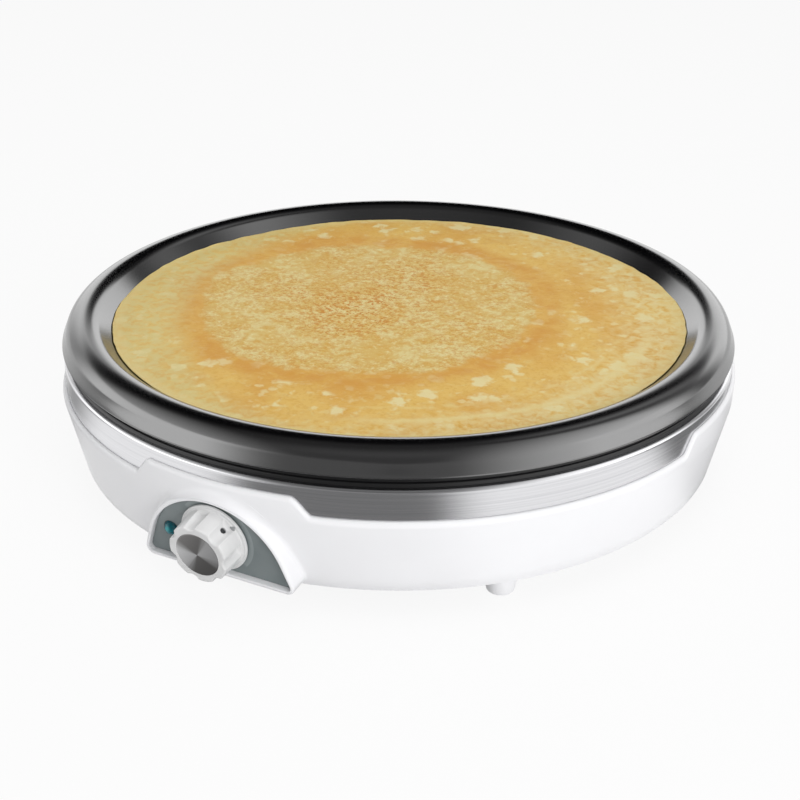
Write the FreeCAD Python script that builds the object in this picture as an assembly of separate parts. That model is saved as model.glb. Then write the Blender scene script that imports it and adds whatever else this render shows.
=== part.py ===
"""Electric crepe maker: a round cast plate with a rolled rim on a shallow round base.

Millimetres, +Z up. Everything is built about the plate's axis, with the control on the -Y side,
and is moved along Y at the end so that the origin is the middle of the overall box, on the table.
"""
import FreeCAD, Part
import math
import os

Vector = FreeCAD.Vector
Placement = FreeCAD.Placement
Rotation = FreeCAD.Rotation
UP = Vector(0, 0, 1)
SIDE = Vector(1, 0, 0)
BACK = Vector(0, 1, 0)

# Heights, from the table up
FOOT_HEIGHT = 12.4
WALL_HEIGHT = 45.2
BAND_SHOWN = 17.1
PLATE_GAP = 6.1
Z_SHELL = FOOT_HEIGHT
Z_LIP = Z_SHELL + WALL_HEIGHT
Z_DECK = Z_LIP + BAND_SHOWN
Z_PLATE = Z_DECK + PLATE_GAP

# Fits
GAP = 0.1
LOOSE = 0.4
THREAD_FIT = 0.05
RUN_FIT = 0.05

# Length of a cutter that goes right through a sheet
DRILL = 20.0

# Cooking plate: flat casting with a hollow rolled rim
PLATE_R = 200.0
PLATE_T = 4.5
PLATE_WALL = 4.0
RIM_R = 12.2
RIM_CENTRE_R = PLATE_R - 13.85
RIM_RISE = 2.6
RIM_FOOT = 0.8
RIM_ROOT_FILLET = 4.0
Z_COOK = Z_PLATE + PLATE_T
Z_RIM = Z_PLATE + RIM_RISE

# Crepe lying on the plate
CREPE_R = RIM_CENTRE_R - 16.65
CREPE_T = 1.7
CREPE_LIFT = 60.0

# Steel trim band and the black insulating ring on its deck
BAND_R = PLATE_R - 0.3
BAND_T = 0.8
BAND_SHOULDER = 2.6
BAND_SEAT = 4.0
DECK_INNER_R = BAND_R - 15.7
RING_FOOT_R = BAND_R - 2.5
RING_FOOT_H = 2.6
RING_NECK_R = RING_FOOT_R - 1.4
RING_INNER_R = RING_NECK_R - 6.3

# Base shell
SHELL_R = BAND_R + 2.3
SHELL_FOOT_R = SHELL_R - 9.1
SHELL_WALL = 2.4
LIP_ROUND = 3.0
LEDGE_T = 3.0
LEDGE_INNER_R = BAND_R - 5.2
FLANGE_T = 2.4
FLANGE_INNER_R = SHELL_FOOT_R - 20.9
COVER_RECESS = 0.4
RAISED_LIP = 9.9
LIP_SLOPE = 14.0
FRONT_LIP_HALF = 12.0
GRIP_ANGLE = 98.0
GRIP_HALF = 17.6

# Bottom cover
COVER_R = SHELL_FOOT_R - 4.9
COVER_T = 1.0
VENT_L = 26.0
VENT_W = 3.4
VENT_R = COVER_R - 93.0
VENT_COUNT = 24

# Feet
FOOT_COUNT = 4
FOOT_ANGLE = 45.0
FOOT_CIRCLE_R = SHELL_FOOT_R - 12.9
FOOT_TOP_R = 9.8
FOOT_TIP_R = 7.0
FOOT_WALL = 2.0
PAD_T = 2.4
PAD_PROUD = 0.5
FOOT_SCREW_R = 1.9
FOOT_SCREW_HEAD_R = 3.4
FOOT_SCREW_HEAD_T = 2.0
FOOT_SCREW_BITE = 12.0
BOSS_WALL = 2.6
BOSS_H = 16.0

# Heat reflector under the element
REFLECTOR_R = PLATE_R - 28.0
REFLECTOR_T = 0.8
REFLECTOR_DROP = 17.0
REFLECTOR_RIM = 9.0
REFLECTOR_HOLE_R = 6.0

# Tie rods between the plate and the bottom cover
ROD_R = 2.5
ROD_CIRCLE_R = REFLECTOR_R - 20.0
ROD_BOSS_R = 7.0
ROD_BOSS_H = 10.0
ROD_BITE = 8.0
ROD_TAIL = 1.0
NUT_R = 4.6
NUT_T = 4.0
WASHER_R = 5.6
WASHER_T = 1.0

# Heating element, clamped in a groove under the plate
TUBE_R = 3.3
TUBE_OUTER_R = ROD_CIRCLE_R - 24.0
TUBE_INNER_R = TUBE_OUTER_R - 50.0
TUBE_DROP = 1.0
TUBE_BEND_R = 10.0
TUBE_START = -76.0
TUBE_TURN = 246.0
TUBE_TAIL = 8.0
PIN_R = 1.5
PIN_L = 9.0
CLAMP_COUNT = 4
CLAMP_START = -35.0
CLAMP_W = 10.0
CLAMP_T = 1.0
CLAMP_REACH = 7.0
CLAMP_BOSS_R = 5.5
SMALL_SCREW_R = 1.9
SMALL_HEAD_R = 3.6
SMALL_HEAD_T = 2.2
SMALL_BITE = 5.0

# Thermal fuse under the plate
FUSE_R = 2.0
FUSE_L = 11.0
FUSE_LEAD_R = 0.6
FUSE_LEAD_L = 7.0
FUSE_Y = 36.0 - TUBE_INNER_R
FUSE_CLIP_W = 6.0
FUSE_CLIP_T = 0.8

# Control: a flat plinth on the wall, leaning out at the top
PANEL_TILT = 7.75
PANEL_Y = SHELL_R
PANEL_Z = 27.0
HOOD_HALF = 47.5
HOOD_BOTTOM = -15.4
HOOD_TOP = 32.6
HOOD_ARCH_R = HOOD_HALF - 3.7
HOOD_CORNER = 5.0
HOOD_FRAME = 2.4
HOOD_LEDGE = 2.6
HOOD_DEPTH = 34.0
PANEL_RECESS = 3.2
PANEL_T = 2.0
PANEL_SCREW_X = HOOD_HALF - 14.5
PANEL_SCREW_V = -6.2
PANEL_TAB = 9.0
PANEL_TAB_T = 2.0

# Knob, on the panel's middle line
KNOB_V = 8.15
KNOB_ANGLE = 43.0
KNOB_SKIRT_R = 19.8
KNOB_SKIRT_GAP = 1.0
KNOB_SKIRT_T = 1.7
KNOB_ROOT_R = 17.7
KNOB_FACE_R = 17.0
KNOB_FACE_Q = 14.2
KNOB_WALL = 1.6
KNOB_HUB_R = 5.0
FLUTE_COUNT = 7
FLUTE_R = 4.4
FLUTE_FLOOR_R = 15.2
CAP_R = 12.6
CAP_T = 1.0
DIMPLE_R = 1.6
DIMPLE_DEPTH = 1.3
DIMPLE_Q = 3.6
POINTER_ROOT_R = 16.3
POINTER_TIP_R = 19.1
POINTER_HALF = 1.3
POINTER_T = 0.5

# Thermostat behind the panel, measured from the knob's axis and the panel's back
SPINDLE_R = 3.0
SPINDLE_FLAT = 1.0
SPINDLE_IN_KNOB = 9.0
SPINDLE_INSIDE = 5.0
BUSH_R = 5.0
BUSH_INSIDE = 7.6
STAT_T = 1.2
STAT_X = 18.0
STAT_STACK_X = 20.0
STAT_HALF_W = 9.0
STAT_SCREW_X = 14.0
STAT_SCREW_R = 1.5
STAT_HEAD_R = 2.8
STAT_HEAD_T = 1.4
STRIKER_R = 1.5
STRIKER_TRAVEL = 0.4
STACK_R = 5.0
STACK_BORE_R = 1.8
STACK_FIRST = 8.0
STACK_REST = 3.6
RIVET_HEAD_R = 3.2
RIVET_HEAD_T = 1.2
BLADE_T = 0.4
BLADE_HALF_W = 3.0
BLADE_REACH = 30.0
CONTACT_R = 2.0
CONTACT_T = 1.2
SPADE_L = 13.0
SPADE_HALF_W = 3.15

# Pilot lamp
LAMP_X = 18.8 - HOOD_HALF
LAMP_V = 4.3
LENS_R = 4.2
LENS_DOME = 3.2
LENS_WALL = 1.1
LENS_FLANGE_R = 5.8
LENS_FLANGE_T = 1.2
BULB_R = 2.4
BULB_L = 10.0
LEG_R = 0.4
LEG_L = 4.0
LEG_X = 1.1
HOLDER_L = 11.0
HOLDER_WALL = 1.3

# Cord gland in the back wall
GLAND_Z = 32.0
GLAND_PAD_R = 13.0
GLAND_FACE_Y = SHELL_R - 1.0
GLAND_FLANGE_R = 10.5
GLAND_FLANGE_T = 2.4
GLAND_BODY_R = 7.8
GLAND_BORE_R = 3.7
GLAND_INSIDE = 18.0
GLAND_NUT_R = 10.5
GLAND_NUT_T = 3.6
PAD_DEPTH = 11.0

# Terminal block and wiring
BLOCK_Y = GLAND_FACE_Y - 59.0
BLOCK_SIZE = Vector(40.0, 15.0, 13.0)
BLOCK_SCREW_X = 15.8
BLOCK_SCREW_PORT_R = 2.2
BLOCK_PITCH = 9.0
BLOCK_BORE_R = 2.0
BLOCK_NOTCH_W = 2.0
BLOCK_NOTCH_H = 4.0
WIRE_R = 1.2
LEAD_R = 0.8
WIRE_BEND = 7.0
WIRE_LOW_Z = Z_SHELL + 7.6
WIRE_HIGH_Z = Z_LIP - 7.6
EARTH_Y = TUBE_INNER_R - 30.0
EARTH_TAG_L = 14.0
EARTH_TAG_W = 5.0


def turned(profile):
    """Solid of revolution. A profile starts at a point; each step is a point, or a pair for an arc."""
    edges = []
    here = profile[0]
    for step in profile[1:] + [profile[0]]:
        if isinstance(step[0], tuple):
            mid, end = step
            arc = Part.Arc(Vector(here[0], 0, here[1]), Vector(mid[0], 0, mid[1]), Vector(end[0], 0, end[1]))
            edges.append(arc.toShape())
            here = end
        elif step != here:
            edges.append(Part.makeLine(Vector(here[0], 0, here[1]), Vector(step[0], 0, step[1])))
            here = step
    face = Part.Face(Part.Wire(edges))
    return face.revolve(Vector(0, 0, 0), UP, 360)


def dome_middle(radius, height, base):
    """Middle point of the arc from a rim at (radius, base) to a crown on the axis."""
    sphere = (radius ** 2 + height ** 2) / (2 * height)
    half = math.atan2(radius, sphere - height) / 2
    return sphere * math.sin(half), base + height - sphere * (1 - math.cos(half))


def ring(outer, inner, z, height):
    """Flat ring standing on height z."""
    disc = Part.makeCylinder(outer, height, Vector(0, 0, z))
    return disc.cut(Part.makeCylinder(inner, height, Vector(0, 0, z)))


def at_angle(radius, angle, z=0.0):
    """Point at a radius and an angle in degrees, counted from +X."""
    a = math.radians(angle)
    return Vector(radius * math.cos(a), radius * math.sin(a), z)


def repeated(shape, count, start):
    """Copies of a shape made at angle 0, turned about the axis, as one group of solids."""
    copies = []
    for index in range(count):
        copy = shape.copy()
        copy.rotate(Vector(0, 0, 0), UP, start + index * 360.0 / count)
        copies.append(copy)
    return copies


def path_wire(points, bend):
    """Straight runs through the points with tangent arcs of one bend radius at the corners."""
    edges = []
    here = points[0]
    for index in range(1, len(points) - 1):
        corner = points[index]
        before = (corner - points[index - 1]).normalize()
        after = (points[index + 1] - corner).normalize()
        turn = before.getAngle(after)
        cut = bend * math.tan(turn / 2)
        first = corner - before * cut
        last = corner + after * cut
        inward = (after - before).normalize()
        middle = corner + inward * (bend / math.cos(turn / 2) - bend)
        edges.append(Part.LineSegment(here, first).toShape())
        edges.append(Part.Arc(first, middle, last).toShape())
        here = last
    edges.append(Part.LineSegment(here, points[-1]).toShape())
    return Part.Wire(edges)


def tube(wire, radius):
    """Round bar swept along a wire, with its volume held against its section times its length."""
    start = wire.Edges[0].valueAt(wire.Edges[0].FirstParameter)
    heading = wire.Edges[0].tangentAt(wire.Edges[0].FirstParameter)
    section = Part.Wire(Part.makeCircle(radius, start, heading))
    solid = wire.makePipeShell([section], True, True)
    ratio = solid.Volume / (math.pi * radius * radius * wire.Length)
    if abs(ratio - 1) > 0.01:
        raise ValueError("a swept tube has lost its section: %.3f" % ratio)
    return solid


def panel_frame(shape, x=0.0, v=0.0, q=0.0):
    """Put a shape drawn about +Z onto the control: x across, v up the panel, q out of its front."""
    placed = shape.copy()
    placed.Placement = control_placement(x, v, q).multiply(placed.Placement)
    return placed


def control_placement(x=0.0, v=0.0, q=0.0):
    front = Placement(Vector(0, -PANEL_Y, PANEL_Z), Rotation(SIDE, 90 + PANEL_TILT))
    return front.multiply(Placement(Vector(x, v, q), Rotation()))


def control_point(x, v, q):
    return control_placement().multVec(Vector(x, v, q))


def shell_outer_r(z):
    """Radius of the tapering wall's outside at a height."""
    z_top = Z_LIP - LIP_ROUND
    return SHELL_FOOT_R + (SHELL_R - SHELL_FOOT_R) * (z - Z_SHELL) / (z_top - Z_SHELL)


def cooking_plate():
    tangent_from = math.hypot(PLATE_R - RIM_CENTRE_R, RIM_RISE)
    slope = math.atan2(-RIM_RISE, PLATE_R - RIM_CENTRE_R) + math.acos(RIM_R / tangent_from)
    side = (RIM_CENTRE_R + RIM_R * math.cos(slope), Z_RIM + RIM_R * math.sin(slope))
    top = (RIM_CENTRE_R, Z_RIM + RIM_R)
    reach = RIM_R + RIM_ROOT_FILLET
    fillet_z = Z_COOK + RIM_ROOT_FILLET
    fillet_r = RIM_CENTRE_R - math.sqrt(reach ** 2 - (fillet_z - Z_RIM) ** 2)
    lean = math.atan2(fillet_z - Z_RIM, RIM_CENTRE_R - fillet_r)
    join = (RIM_CENTRE_R - RIM_R * math.cos(lean), Z_RIM + RIM_R * math.sin(lean))
    inner_mid_angle = (math.pi / 2 + lean) / 2
    inner_mid = (RIM_CENTRE_R - RIM_R * math.cos(inner_mid_angle), Z_RIM + RIM_R * math.sin(inner_mid_angle))
    outer_mid_angle = (math.pi / 2 + slope) / 2
    outer_mid = (RIM_CENTRE_R + RIM_R * math.cos(outer_mid_angle), Z_RIM + RIM_R * math.sin(outer_mid_angle))
    sweep = (math.pi / 2 + lean) / 2 - lean
    root_mid = (fillet_r + RIM_ROOT_FILLET * math.sin(sweep), fillet_z - RIM_ROOT_FILLET * math.cos(sweep))
    body = turned([
        (0, Z_PLATE), (PLATE_R - RIM_FOOT, Z_PLATE), (PLATE_R, Z_PLATE + RIM_FOOT), side,
        (outer_mid, top), (inner_mid, join), (root_mid, (fillet_r, Z_COOK)), (0, Z_COOK),
    ])
    hollow_r = RIM_R - PLATE_WALL
    channel = turned([
        (RIM_CENTRE_R - hollow_r, Z_PLATE - 1), (RIM_CENTRE_R + hollow_r, Z_PLATE - 1),
        (RIM_CENTRE_R + hollow_r, Z_RIM), ((RIM_CENTRE_R, Z_RIM + hollow_r), (RIM_CENTRE_R - hollow_r, Z_RIM)),
    ])
    body = body.cut(channel)
    for boss in repeated(rod_boss(), FOOT_COUNT, FOOT_ANGLE):
        body = body.fuse(boss)
    for boss in repeated(clamp_boss(), CLAMP_COUNT, CLAMP_START):
        body = body.fuse(boss)
    for x, y in fuse_screws() + earth_screws():
        body = body.fuse(small_boss(x, y))
    for hole in repeated(rod_hole(), FOOT_COUNT, FOOT_ANGLE):
        body = body.cut(hole)
    for hole in repeated(clamp_hole(), CLAMP_COUNT, CLAMP_START):
        body = body.cut(hole)
    for x, y in fuse_screws() + earth_screws():
        body = body.cut(small_hole(x, y))
    body = body.cut(tube(element_path(), TUBE_R + GAP + RUN_FIT))
    return body.removeSplitter()


def rod_boss():
    return Part.makeCylinder(ROD_BOSS_R, ROD_BOSS_H + 1, Vector(ROD_CIRCLE_R, 0, Z_PLATE - ROD_BOSS_H))


def rod_hole():
    start = Vector(ROD_CIRCLE_R, 0, Z_PLATE - ROD_BOSS_H - 1)
    return Part.makeCylinder(ROD_R + THREAD_FIT, ROD_BITE + 2, start)


def clamp_screw_r():
    return (TUBE_OUTER_R + TUBE_INNER_R) / 2


def clamp_top():
    """Upper face of the clamp straps, just under the element."""
    return Z_PLATE - TUBE_DROP - TUBE_R - GAP


def clamp_boss():
    height = Z_PLATE - clamp_top()
    return Part.makeCylinder(CLAMP_BOSS_R, height + 1, Vector(clamp_screw_r(), 0, clamp_top()))


def clamp_hole():
    start = Vector(clamp_screw_r(), 0, clamp_top() - 1)
    return Part.makeCylinder(SMALL_SCREW_R + THREAD_FIT, SMALL_BITE + 2, start)


def fuse_screws():
    """Places of the fuse clip's screw on the plate."""
    return [(0.0, FUSE_Y - FUSE_R - CLAMP_BOSS_R - GAP)]


def earth_screws():
    return [(0.0, EARTH_Y)]


def small_boss(x, y):
    return Part.makeCylinder(CLAMP_BOSS_R, 2 * FUSE_R + 1, Vector(x, y, Z_PLATE - 2 * FUSE_R))


def small_hole(x, y):
    start = Vector(x, y, Z_PLATE - 2 * FUSE_R - 1)
    return Part.makeCylinder(SMALL_SCREW_R + THREAD_FIT, SMALL_BITE + 2, start)


def small_screw(x, y, z, bite):
    """Pan-head screw pointing up, its head under height z."""
    head = Part.makeCylinder(SMALL_HEAD_R, SMALL_HEAD_T, Vector(x, y, z - SMALL_HEAD_T))
    low_edges = [edge for edge in head.Edges if edge.BoundBox.ZMax < z - SMALL_HEAD_T / 2]
    head = head.makeFillet(SMALL_HEAD_T / 3, low_edges)
    screw = head.fuse(Part.makeCylinder(SMALL_SCREW_R, bite, Vector(x, y, z)))
    slot = Part.makeBox(2 * SMALL_HEAD_R, 0.9, 0.9, Vector(x - SMALL_HEAD_R, y - 0.45, z - SMALL_HEAD_T))
    return screw.cut(slot).removeSplitter()


def crepe():
    edge = CREPE_T / 2
    return turned([
        (0, Z_COOK), (CREPE_R - edge, Z_COOK),
        ((CREPE_R, Z_COOK + edge), (CREPE_R - edge, Z_COOK + CREPE_T)), (0, Z_COOK + CREPE_T),
    ])


def trim_band():
    shoulder_r = BAND_R - BAND_SHOULDER
    corner = BAND_SHOULDER * (1 - math.sqrt(0.5))
    inside = BAND_R - BAND_T
    inner_round = BAND_SHOULDER - BAND_T
    inner_corner = inner_round * (1 - math.sqrt(0.5))
    return turned([
        (BAND_R, Z_LIP - BAND_SEAT), (BAND_R, Z_DECK - BAND_SHOULDER),
        ((BAND_R - corner, Z_DECK - corner), (shoulder_r, Z_DECK)), (DECK_INNER_R, Z_DECK),
        (DECK_INNER_R, Z_DECK - BAND_T), (shoulder_r, Z_DECK - BAND_T),
        ((inside - inner_corner, Z_DECK - BAND_T - inner_corner), (inside, Z_DECK - BAND_SHOULDER)),
        (inside, Z_LIP - BAND_SEAT),
    ])


def insulating_ring():
    edge = RING_FOOT_H / 3
    top = Z_DECK + RING_FOOT_H
    return turned([
        (RING_INNER_R, Z_DECK), (RING_FOOT_R, Z_DECK), (RING_FOOT_R, top - edge),
        ((RING_FOOT_R - edge * 0.3, top - edge * 0.3), (RING_FOOT_R - edge, top)),
        (RING_NECK_R, top), (RING_NECK_R, Z_PLATE), (RING_INNER_R, Z_PLATE),
    ])


def lip_profile(z_top, z_bottom):
    """Half section of the shell's rounded lip between the band and the outside."""
    inner = BAND_R + GAP
    bulge = (SHELL_R - inner) * 0.3
    return [
        (inner, z_bottom), (SHELL_R, z_bottom), (SHELL_R, z_top - LIP_ROUND),
        ((SHELL_R - bulge, z_top - LIP_ROUND * 0.3), (inner, z_top)),
    ]


def raised_lip(angle, half_angle):
    """Stretch of lip that stands higher against the band, with an S-curve at each end."""
    top = Z_LIP + RAISED_LIP
    low = Z_LIP - LIP_ROUND
    band = turned(lip_profile(top, low))
    half = SHELL_R * math.sin(math.radians(half_angle))
    foot = half + LIP_SLOPE
    mid = (half + foot) / 2
    dip = Z_LIP - LIP_ROUND / 2
    step = (top - dip) / 2
    ease = LIP_SLOPE * 0.32
    reach = SHELL_R * 0.4
    start = Vector(SHELL_R - reach, 0, 0)

    def at(t, z):
        return start + Vector(0, t, z)

    def curve(sign):
        centre = at(sign * mid, dip + step)
        low_middle = at(sign * (foot - ease), dip + step * 0.42)
        high_middle = at(sign * (half + ease), top - step * 0.42)
        lower = Part.Arc(at(sign * foot, dip), low_middle, centre)
        upper = Part.Arc(centre, high_middle, at(sign * half, top))
        return lower.toShape(), upper.toShape()

    right_low, right_high = curve(1)
    left_low, left_high = curve(-1)
    outline = [
        Part.makeLine(at(foot, low), at(foot, dip)), right_low, right_high,
        Part.makeLine(at(half, top), at(half, top + 2)), Part.makeLine(at(half, top + 2), at(-half, top + 2)),
        Part.makeLine(at(-half, top + 2), at(-half, top)), left_high, left_low,
        Part.makeLine(at(-foot, dip), at(-foot, low)), Part.makeLine(at(-foot, low), at(foot, low)),
    ]
    window = Part.Face(Part.Wire(Part.__sortEdges__(outline))).extrude(Vector(reach + LIP_ROUND, 0, 0))
    section = band.common(window)
    section.rotate(Vector(0, 0, 0), UP, angle)
    return section


def arch_face(inset):
    """Flat-bottomed arch of the control, drawn flat, set in from the outer outline."""
    half = HOOD_HALF - inset * 1.15
    bottom = HOOD_BOTTOM + inset
    radius = HOOD_ARCH_R - inset
    centre_v = HOOD_TOP - HOOD_ARCH_R
    reach = math.hypot(half, bottom - centre_v)
    lean = math.atan2(bottom - centre_v, half) + math.acos(radius / reach)
    side_x = radius * math.cos(lean)
    side_v = centre_v + radius * math.sin(lean)
    arc = Part.Arc(Vector(side_x, side_v, 0), Vector(0, centre_v + radius, 0), Vector(-side_x, side_v, 0))
    edges = [
        Part.makeLine(Vector(-half, bottom, 0), Vector(half, bottom, 0)),
        Part.makeLine(Vector(half, bottom, 0), Vector(side_x, side_v, 0)),
        arc.toShape(),
        Part.makeLine(Vector(-side_x, side_v, 0), Vector(-half, bottom, 0)),
    ]
    return Part.Face(Part.Wire(edges))


def arch_prism(inset, q_from, q_to):
    """The arch outline as a prism between two depths, its lower corners rounded."""
    prism = arch_face(inset).extrude(Vector(0, 0, q_to - q_from))
    low = HOOD_BOTTOM + inset
    corners = []
    for edge in prism.Edges:
        box = edge.BoundBox
        if box.ZLength > 1 and box.YLength < 0.01 and abs(box.YMin - low) < 0.01:
            corners.append(edge)
    prism = prism.makeFillet(max(HOOD_CORNER - inset, 0.8), corners)
    prism.translate(Vector(0, 0, q_from))
    return prism


def shell_inside():
    """Everything inside the middle of the shell's wall, for trimming what is added to its outside."""
    half = SHELL_WALL / 2
    seat = Z_LIP - BAND_SEAT - LEDGE_T
    lip = (BAND_R + GAP + SHELL_R) / 2
    return turned([
        (0, Z_SHELL - DRILL), (SHELL_FOOT_R - half, Z_SHELL - DRILL), (SHELL_FOOT_R - half, Z_SHELL),
        (shell_outer_r(seat) - half, seat), (lip, Z_LIP - BAND_SEAT), (lip, Z_DECK + DRILL), (0, Z_DECK + DRILL),
    ])


def base_shell():
    seat = Z_LIP - BAND_SEAT
    inner = BAND_R + GAP
    bulge = (SHELL_R - inner) * 0.3
    foot_inner = SHELL_FOOT_R - SHELL_WALL
    flange_z = Z_SHELL + COVER_RECESS + COVER_T
    gusset_z = seat - 2 * LEDGE_T
    shell = turned([
        (SHELL_FOOT_R - 1, Z_SHELL), (SHELL_FOOT_R, Z_SHELL + 1), (SHELL_R, Z_LIP - LIP_ROUND),
        ((SHELL_R - bulge, Z_LIP - LIP_ROUND * 0.3), (inner, Z_LIP)), (inner, seat),
        (LEDGE_INNER_R, seat), (LEDGE_INNER_R, seat - LEDGE_T),
        (shell_outer_r(gusset_z) - SHELL_WALL, gusset_z),
        (shell_outer_r(flange_z + FLANGE_T) - SHELL_WALL, flange_z + FLANGE_T),
        (FLANGE_INNER_R, flange_z + FLANGE_T), (FLANGE_INNER_R, flange_z), (foot_inner, flange_z),
        (foot_inner, Z_SHELL),
    ])
    shell = shell.fuse(raised_lip(-90, FRONT_LIP_HALF))
    for side in (1, -1):
        shell = shell.fuse(raised_lip(-90 + side * GRIP_ANGLE, GRIP_HALF))
    hood = panel_frame(arch_prism(0, -HOOD_DEPTH, 0)).cut(shell_inside())
    shell = shell.fuse(hood)
    shell = shell.cut(panel_frame(arch_prism(HOOD_FRAME, -PANEL_RECESS - PANEL_T, 1)))
    window = arch_prism(HOOD_FRAME + HOOD_LEDGE, -HOOD_DEPTH - DRILL, -PANEL_RECESS)
    shell = shell.cut(panel_frame(window))
    for side in (-1, 1):
        shell = shell.fuse(panel_frame(panel_tab(side)))
    for side in (-1, 1):
        x = side * PANEL_SCREW_X
        low = panel_back() - DRILL * 0.75
        hole = Part.makeCylinder(SMALL_SCREW_R + LOOSE, DRILL, Vector(x, PANEL_SCREW_V, low))
        shell = shell.cut(panel_frame(hole))
    for boss in repeated(foot_boss(flange_z), FOOT_COUNT, FOOT_ANGLE):
        shell = shell.fuse(boss)
    for hole in repeated(foot_screw_hole(flange_z), FOOT_COUNT, FOOT_ANGLE):
        shell = shell.cut(hole)
    pad = Part.makeCylinder(GLAND_PAD_R, PAD_DEPTH, Vector(0, GLAND_FACE_Y - PAD_DEPTH, GLAND_Z), BACK)
    shell = shell.fuse(pad)
    start = Vector(0, GLAND_FACE_Y - 2 * GLAND_INSIDE, GLAND_Z)
    bore = Part.makeCylinder(GLAND_BODY_R + GAP, 3 * GLAND_INSIDE, start, BACK)
    return shell.cut(bore).removeSplitter()


def panel_tab(side):
    """Ear behind a lower corner of the panel, for its screw."""
    z = panel_back() - PANEL_TAB_T
    half = PANEL_TAB / 2
    height = PANEL_SCREW_V + half - HOOD_BOTTOM - 1
    corner = Vector(side * PANEL_SCREW_X - half, HOOD_BOTTOM + 1, z)
    return Part.makeBox(PANEL_TAB, height, PANEL_TAB_T, corner)


def foot_boss(z):
    return Part.makeCylinder(FOOT_SCREW_R + BOSS_WALL, BOSS_H, Vector(FOOT_CIRCLE_R, 0, z))


def foot_screw_hole(z):
    return Part.makeCylinder(FOOT_SCREW_R + THREAD_FIT, FOOT_SCREW_BITE + 1, Vector(FOOT_CIRCLE_R, 0, z - 1))


def bottom_cover():
    z = Z_SHELL + COVER_RECESS
    cover = Part.makeCylinder(COVER_R, COVER_T, Vector(0, 0, z))
    slot = Part.makeBox(VENT_L, VENT_W, 3 * COVER_T, Vector(VENT_R - VENT_L / 2, -VENT_W / 2, z - COVER_T))
    slot = slot.makeFillet(VENT_W / 2 - 0.1, [edge for edge in slot.Edges if edge.BoundBox.ZLength > COVER_T])
    holes = repeated(slot, VENT_COUNT, 360.0 / VENT_COUNT / 2)
    rod = Part.makeCylinder(ROD_R + LOOSE, 3 * COVER_T, Vector(ROD_CIRCLE_R, 0, z - COVER_T))
    holes += repeated(rod, FOOT_COUNT, FOOT_ANGLE)
    foot = Part.makeCylinder(FOOT_SCREW_R + LOOSE, 3 * COVER_T, Vector(FOOT_CIRCLE_R, 0, z - COVER_T))
    holes += repeated(foot, FOOT_COUNT, FOOT_ANGLE)
    for x in block_screw_x():
        holes.append(Part.makeCylinder(SMALL_SCREW_R + LOOSE, 3 * COVER_T, Vector(x, BLOCK_Y, z - COVER_T)))
    return cover.cut(Part.makeCompound(holes))


def foot_blank():
    """Tapering foot cup with a rounded tip, open below, its screw seat above the rubber pad."""
    top = Z_SHELL + COVER_RECESS
    tip_round = 1.6
    corner = tip_round * 0.3
    seat = PAD_T + FOOT_SCREW_HEAD_T + 1
    return turned([
        (FOOT_SCREW_R + LOOSE, top), (FOOT_TOP_R, top), (FOOT_TIP_R + 0.4, PAD_PROUD + tip_round),
        ((FOOT_TIP_R + 0.4 - corner, PAD_PROUD + corner), (FOOT_TIP_R - 1, PAD_PROUD)),
        (FOOT_TIP_R - FOOT_WALL, PAD_PROUD), (FOOT_TIP_R - FOOT_WALL, seat), (FOOT_SCREW_R + LOOSE, seat),
    ])


def feet():
    foot = foot_blank()
    foot.translate(Vector(FOOT_CIRCLE_R, 0, 0))
    return Part.makeCompound(repeated(foot, FOOT_COUNT, FOOT_ANGLE))


def foot_pads():
    pad = Part.makeCylinder(FOOT_TIP_R - FOOT_WALL - GAP, PAD_T, Vector(FOOT_CIRCLE_R, 0, 0))
    return Part.makeCompound(repeated(pad, FOOT_COUNT, FOOT_ANGLE))


def foot_screws():
    seat = PAD_T + FOOT_SCREW_HEAD_T + 1
    length = Z_SHELL + COVER_RECESS + COVER_T + FOOT_SCREW_BITE - 1 - seat
    below = Vector(FOOT_CIRCLE_R, 0, seat - FOOT_SCREW_HEAD_T)
    head = Part.makeCylinder(FOOT_SCREW_HEAD_R, FOOT_SCREW_HEAD_T, below)
    screw = head.fuse(Part.makeCylinder(FOOT_SCREW_R, length, Vector(FOOT_CIRCLE_R, 0, seat)))
    return Part.makeCompound(repeated(screw, FOOT_COUNT, FOOT_ANGLE))


def hexagon(flat_r, z, height, hole_r):
    """Nut standing on height z with a plain bore."""
    corner = flat_r / math.cos(math.radians(30))
    points = [at_angle(corner, 60 * index, z) for index in range(7)]
    nut = Part.Face(Part.makePolygon(points)).extrude(Vector(0, 0, height))
    return nut.cut(Part.makeCylinder(hole_r, height, Vector(0, 0, z)))


def rod_end_z():
    return Z_SHELL + COVER_RECESS - WASHER_T - NUT_T - ROD_TAIL


def tie_rods():
    top = Z_PLATE - ROD_BOSS_H + ROD_BITE
    rod = Part.makeCylinder(ROD_R, top - rod_end_z(), Vector(ROD_CIRCLE_R, 0, rod_end_z()))
    return Part.makeCompound(repeated(rod, FOOT_COUNT, FOOT_ANGLE))


def rod_nuts():
    """One nut under the cover and one under the reflector on every rod."""
    nuts = []
    for z in (rod_end_z() + ROD_TAIL, reflector_z() - NUT_T):
        nut = hexagon(NUT_R, z, NUT_T, ROD_R + THREAD_FIT)
        nut.translate(Vector(ROD_CIRCLE_R, 0, 0))
        nuts += repeated(nut, FOOT_COUNT, FOOT_ANGLE)
    return Part.makeCompound(nuts)


def rod_washers():
    washer = ring(WASHER_R, ROD_R + GAP, Z_SHELL + COVER_RECESS - WASHER_T, WASHER_T)
    washer.translate(Vector(ROD_CIRCLE_R, 0, 0))
    return Part.makeCompound(repeated(washer, FOOT_COUNT, FOOT_ANGLE))


def element_z():
    return Z_PLATE - TUBE_DROP


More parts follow.
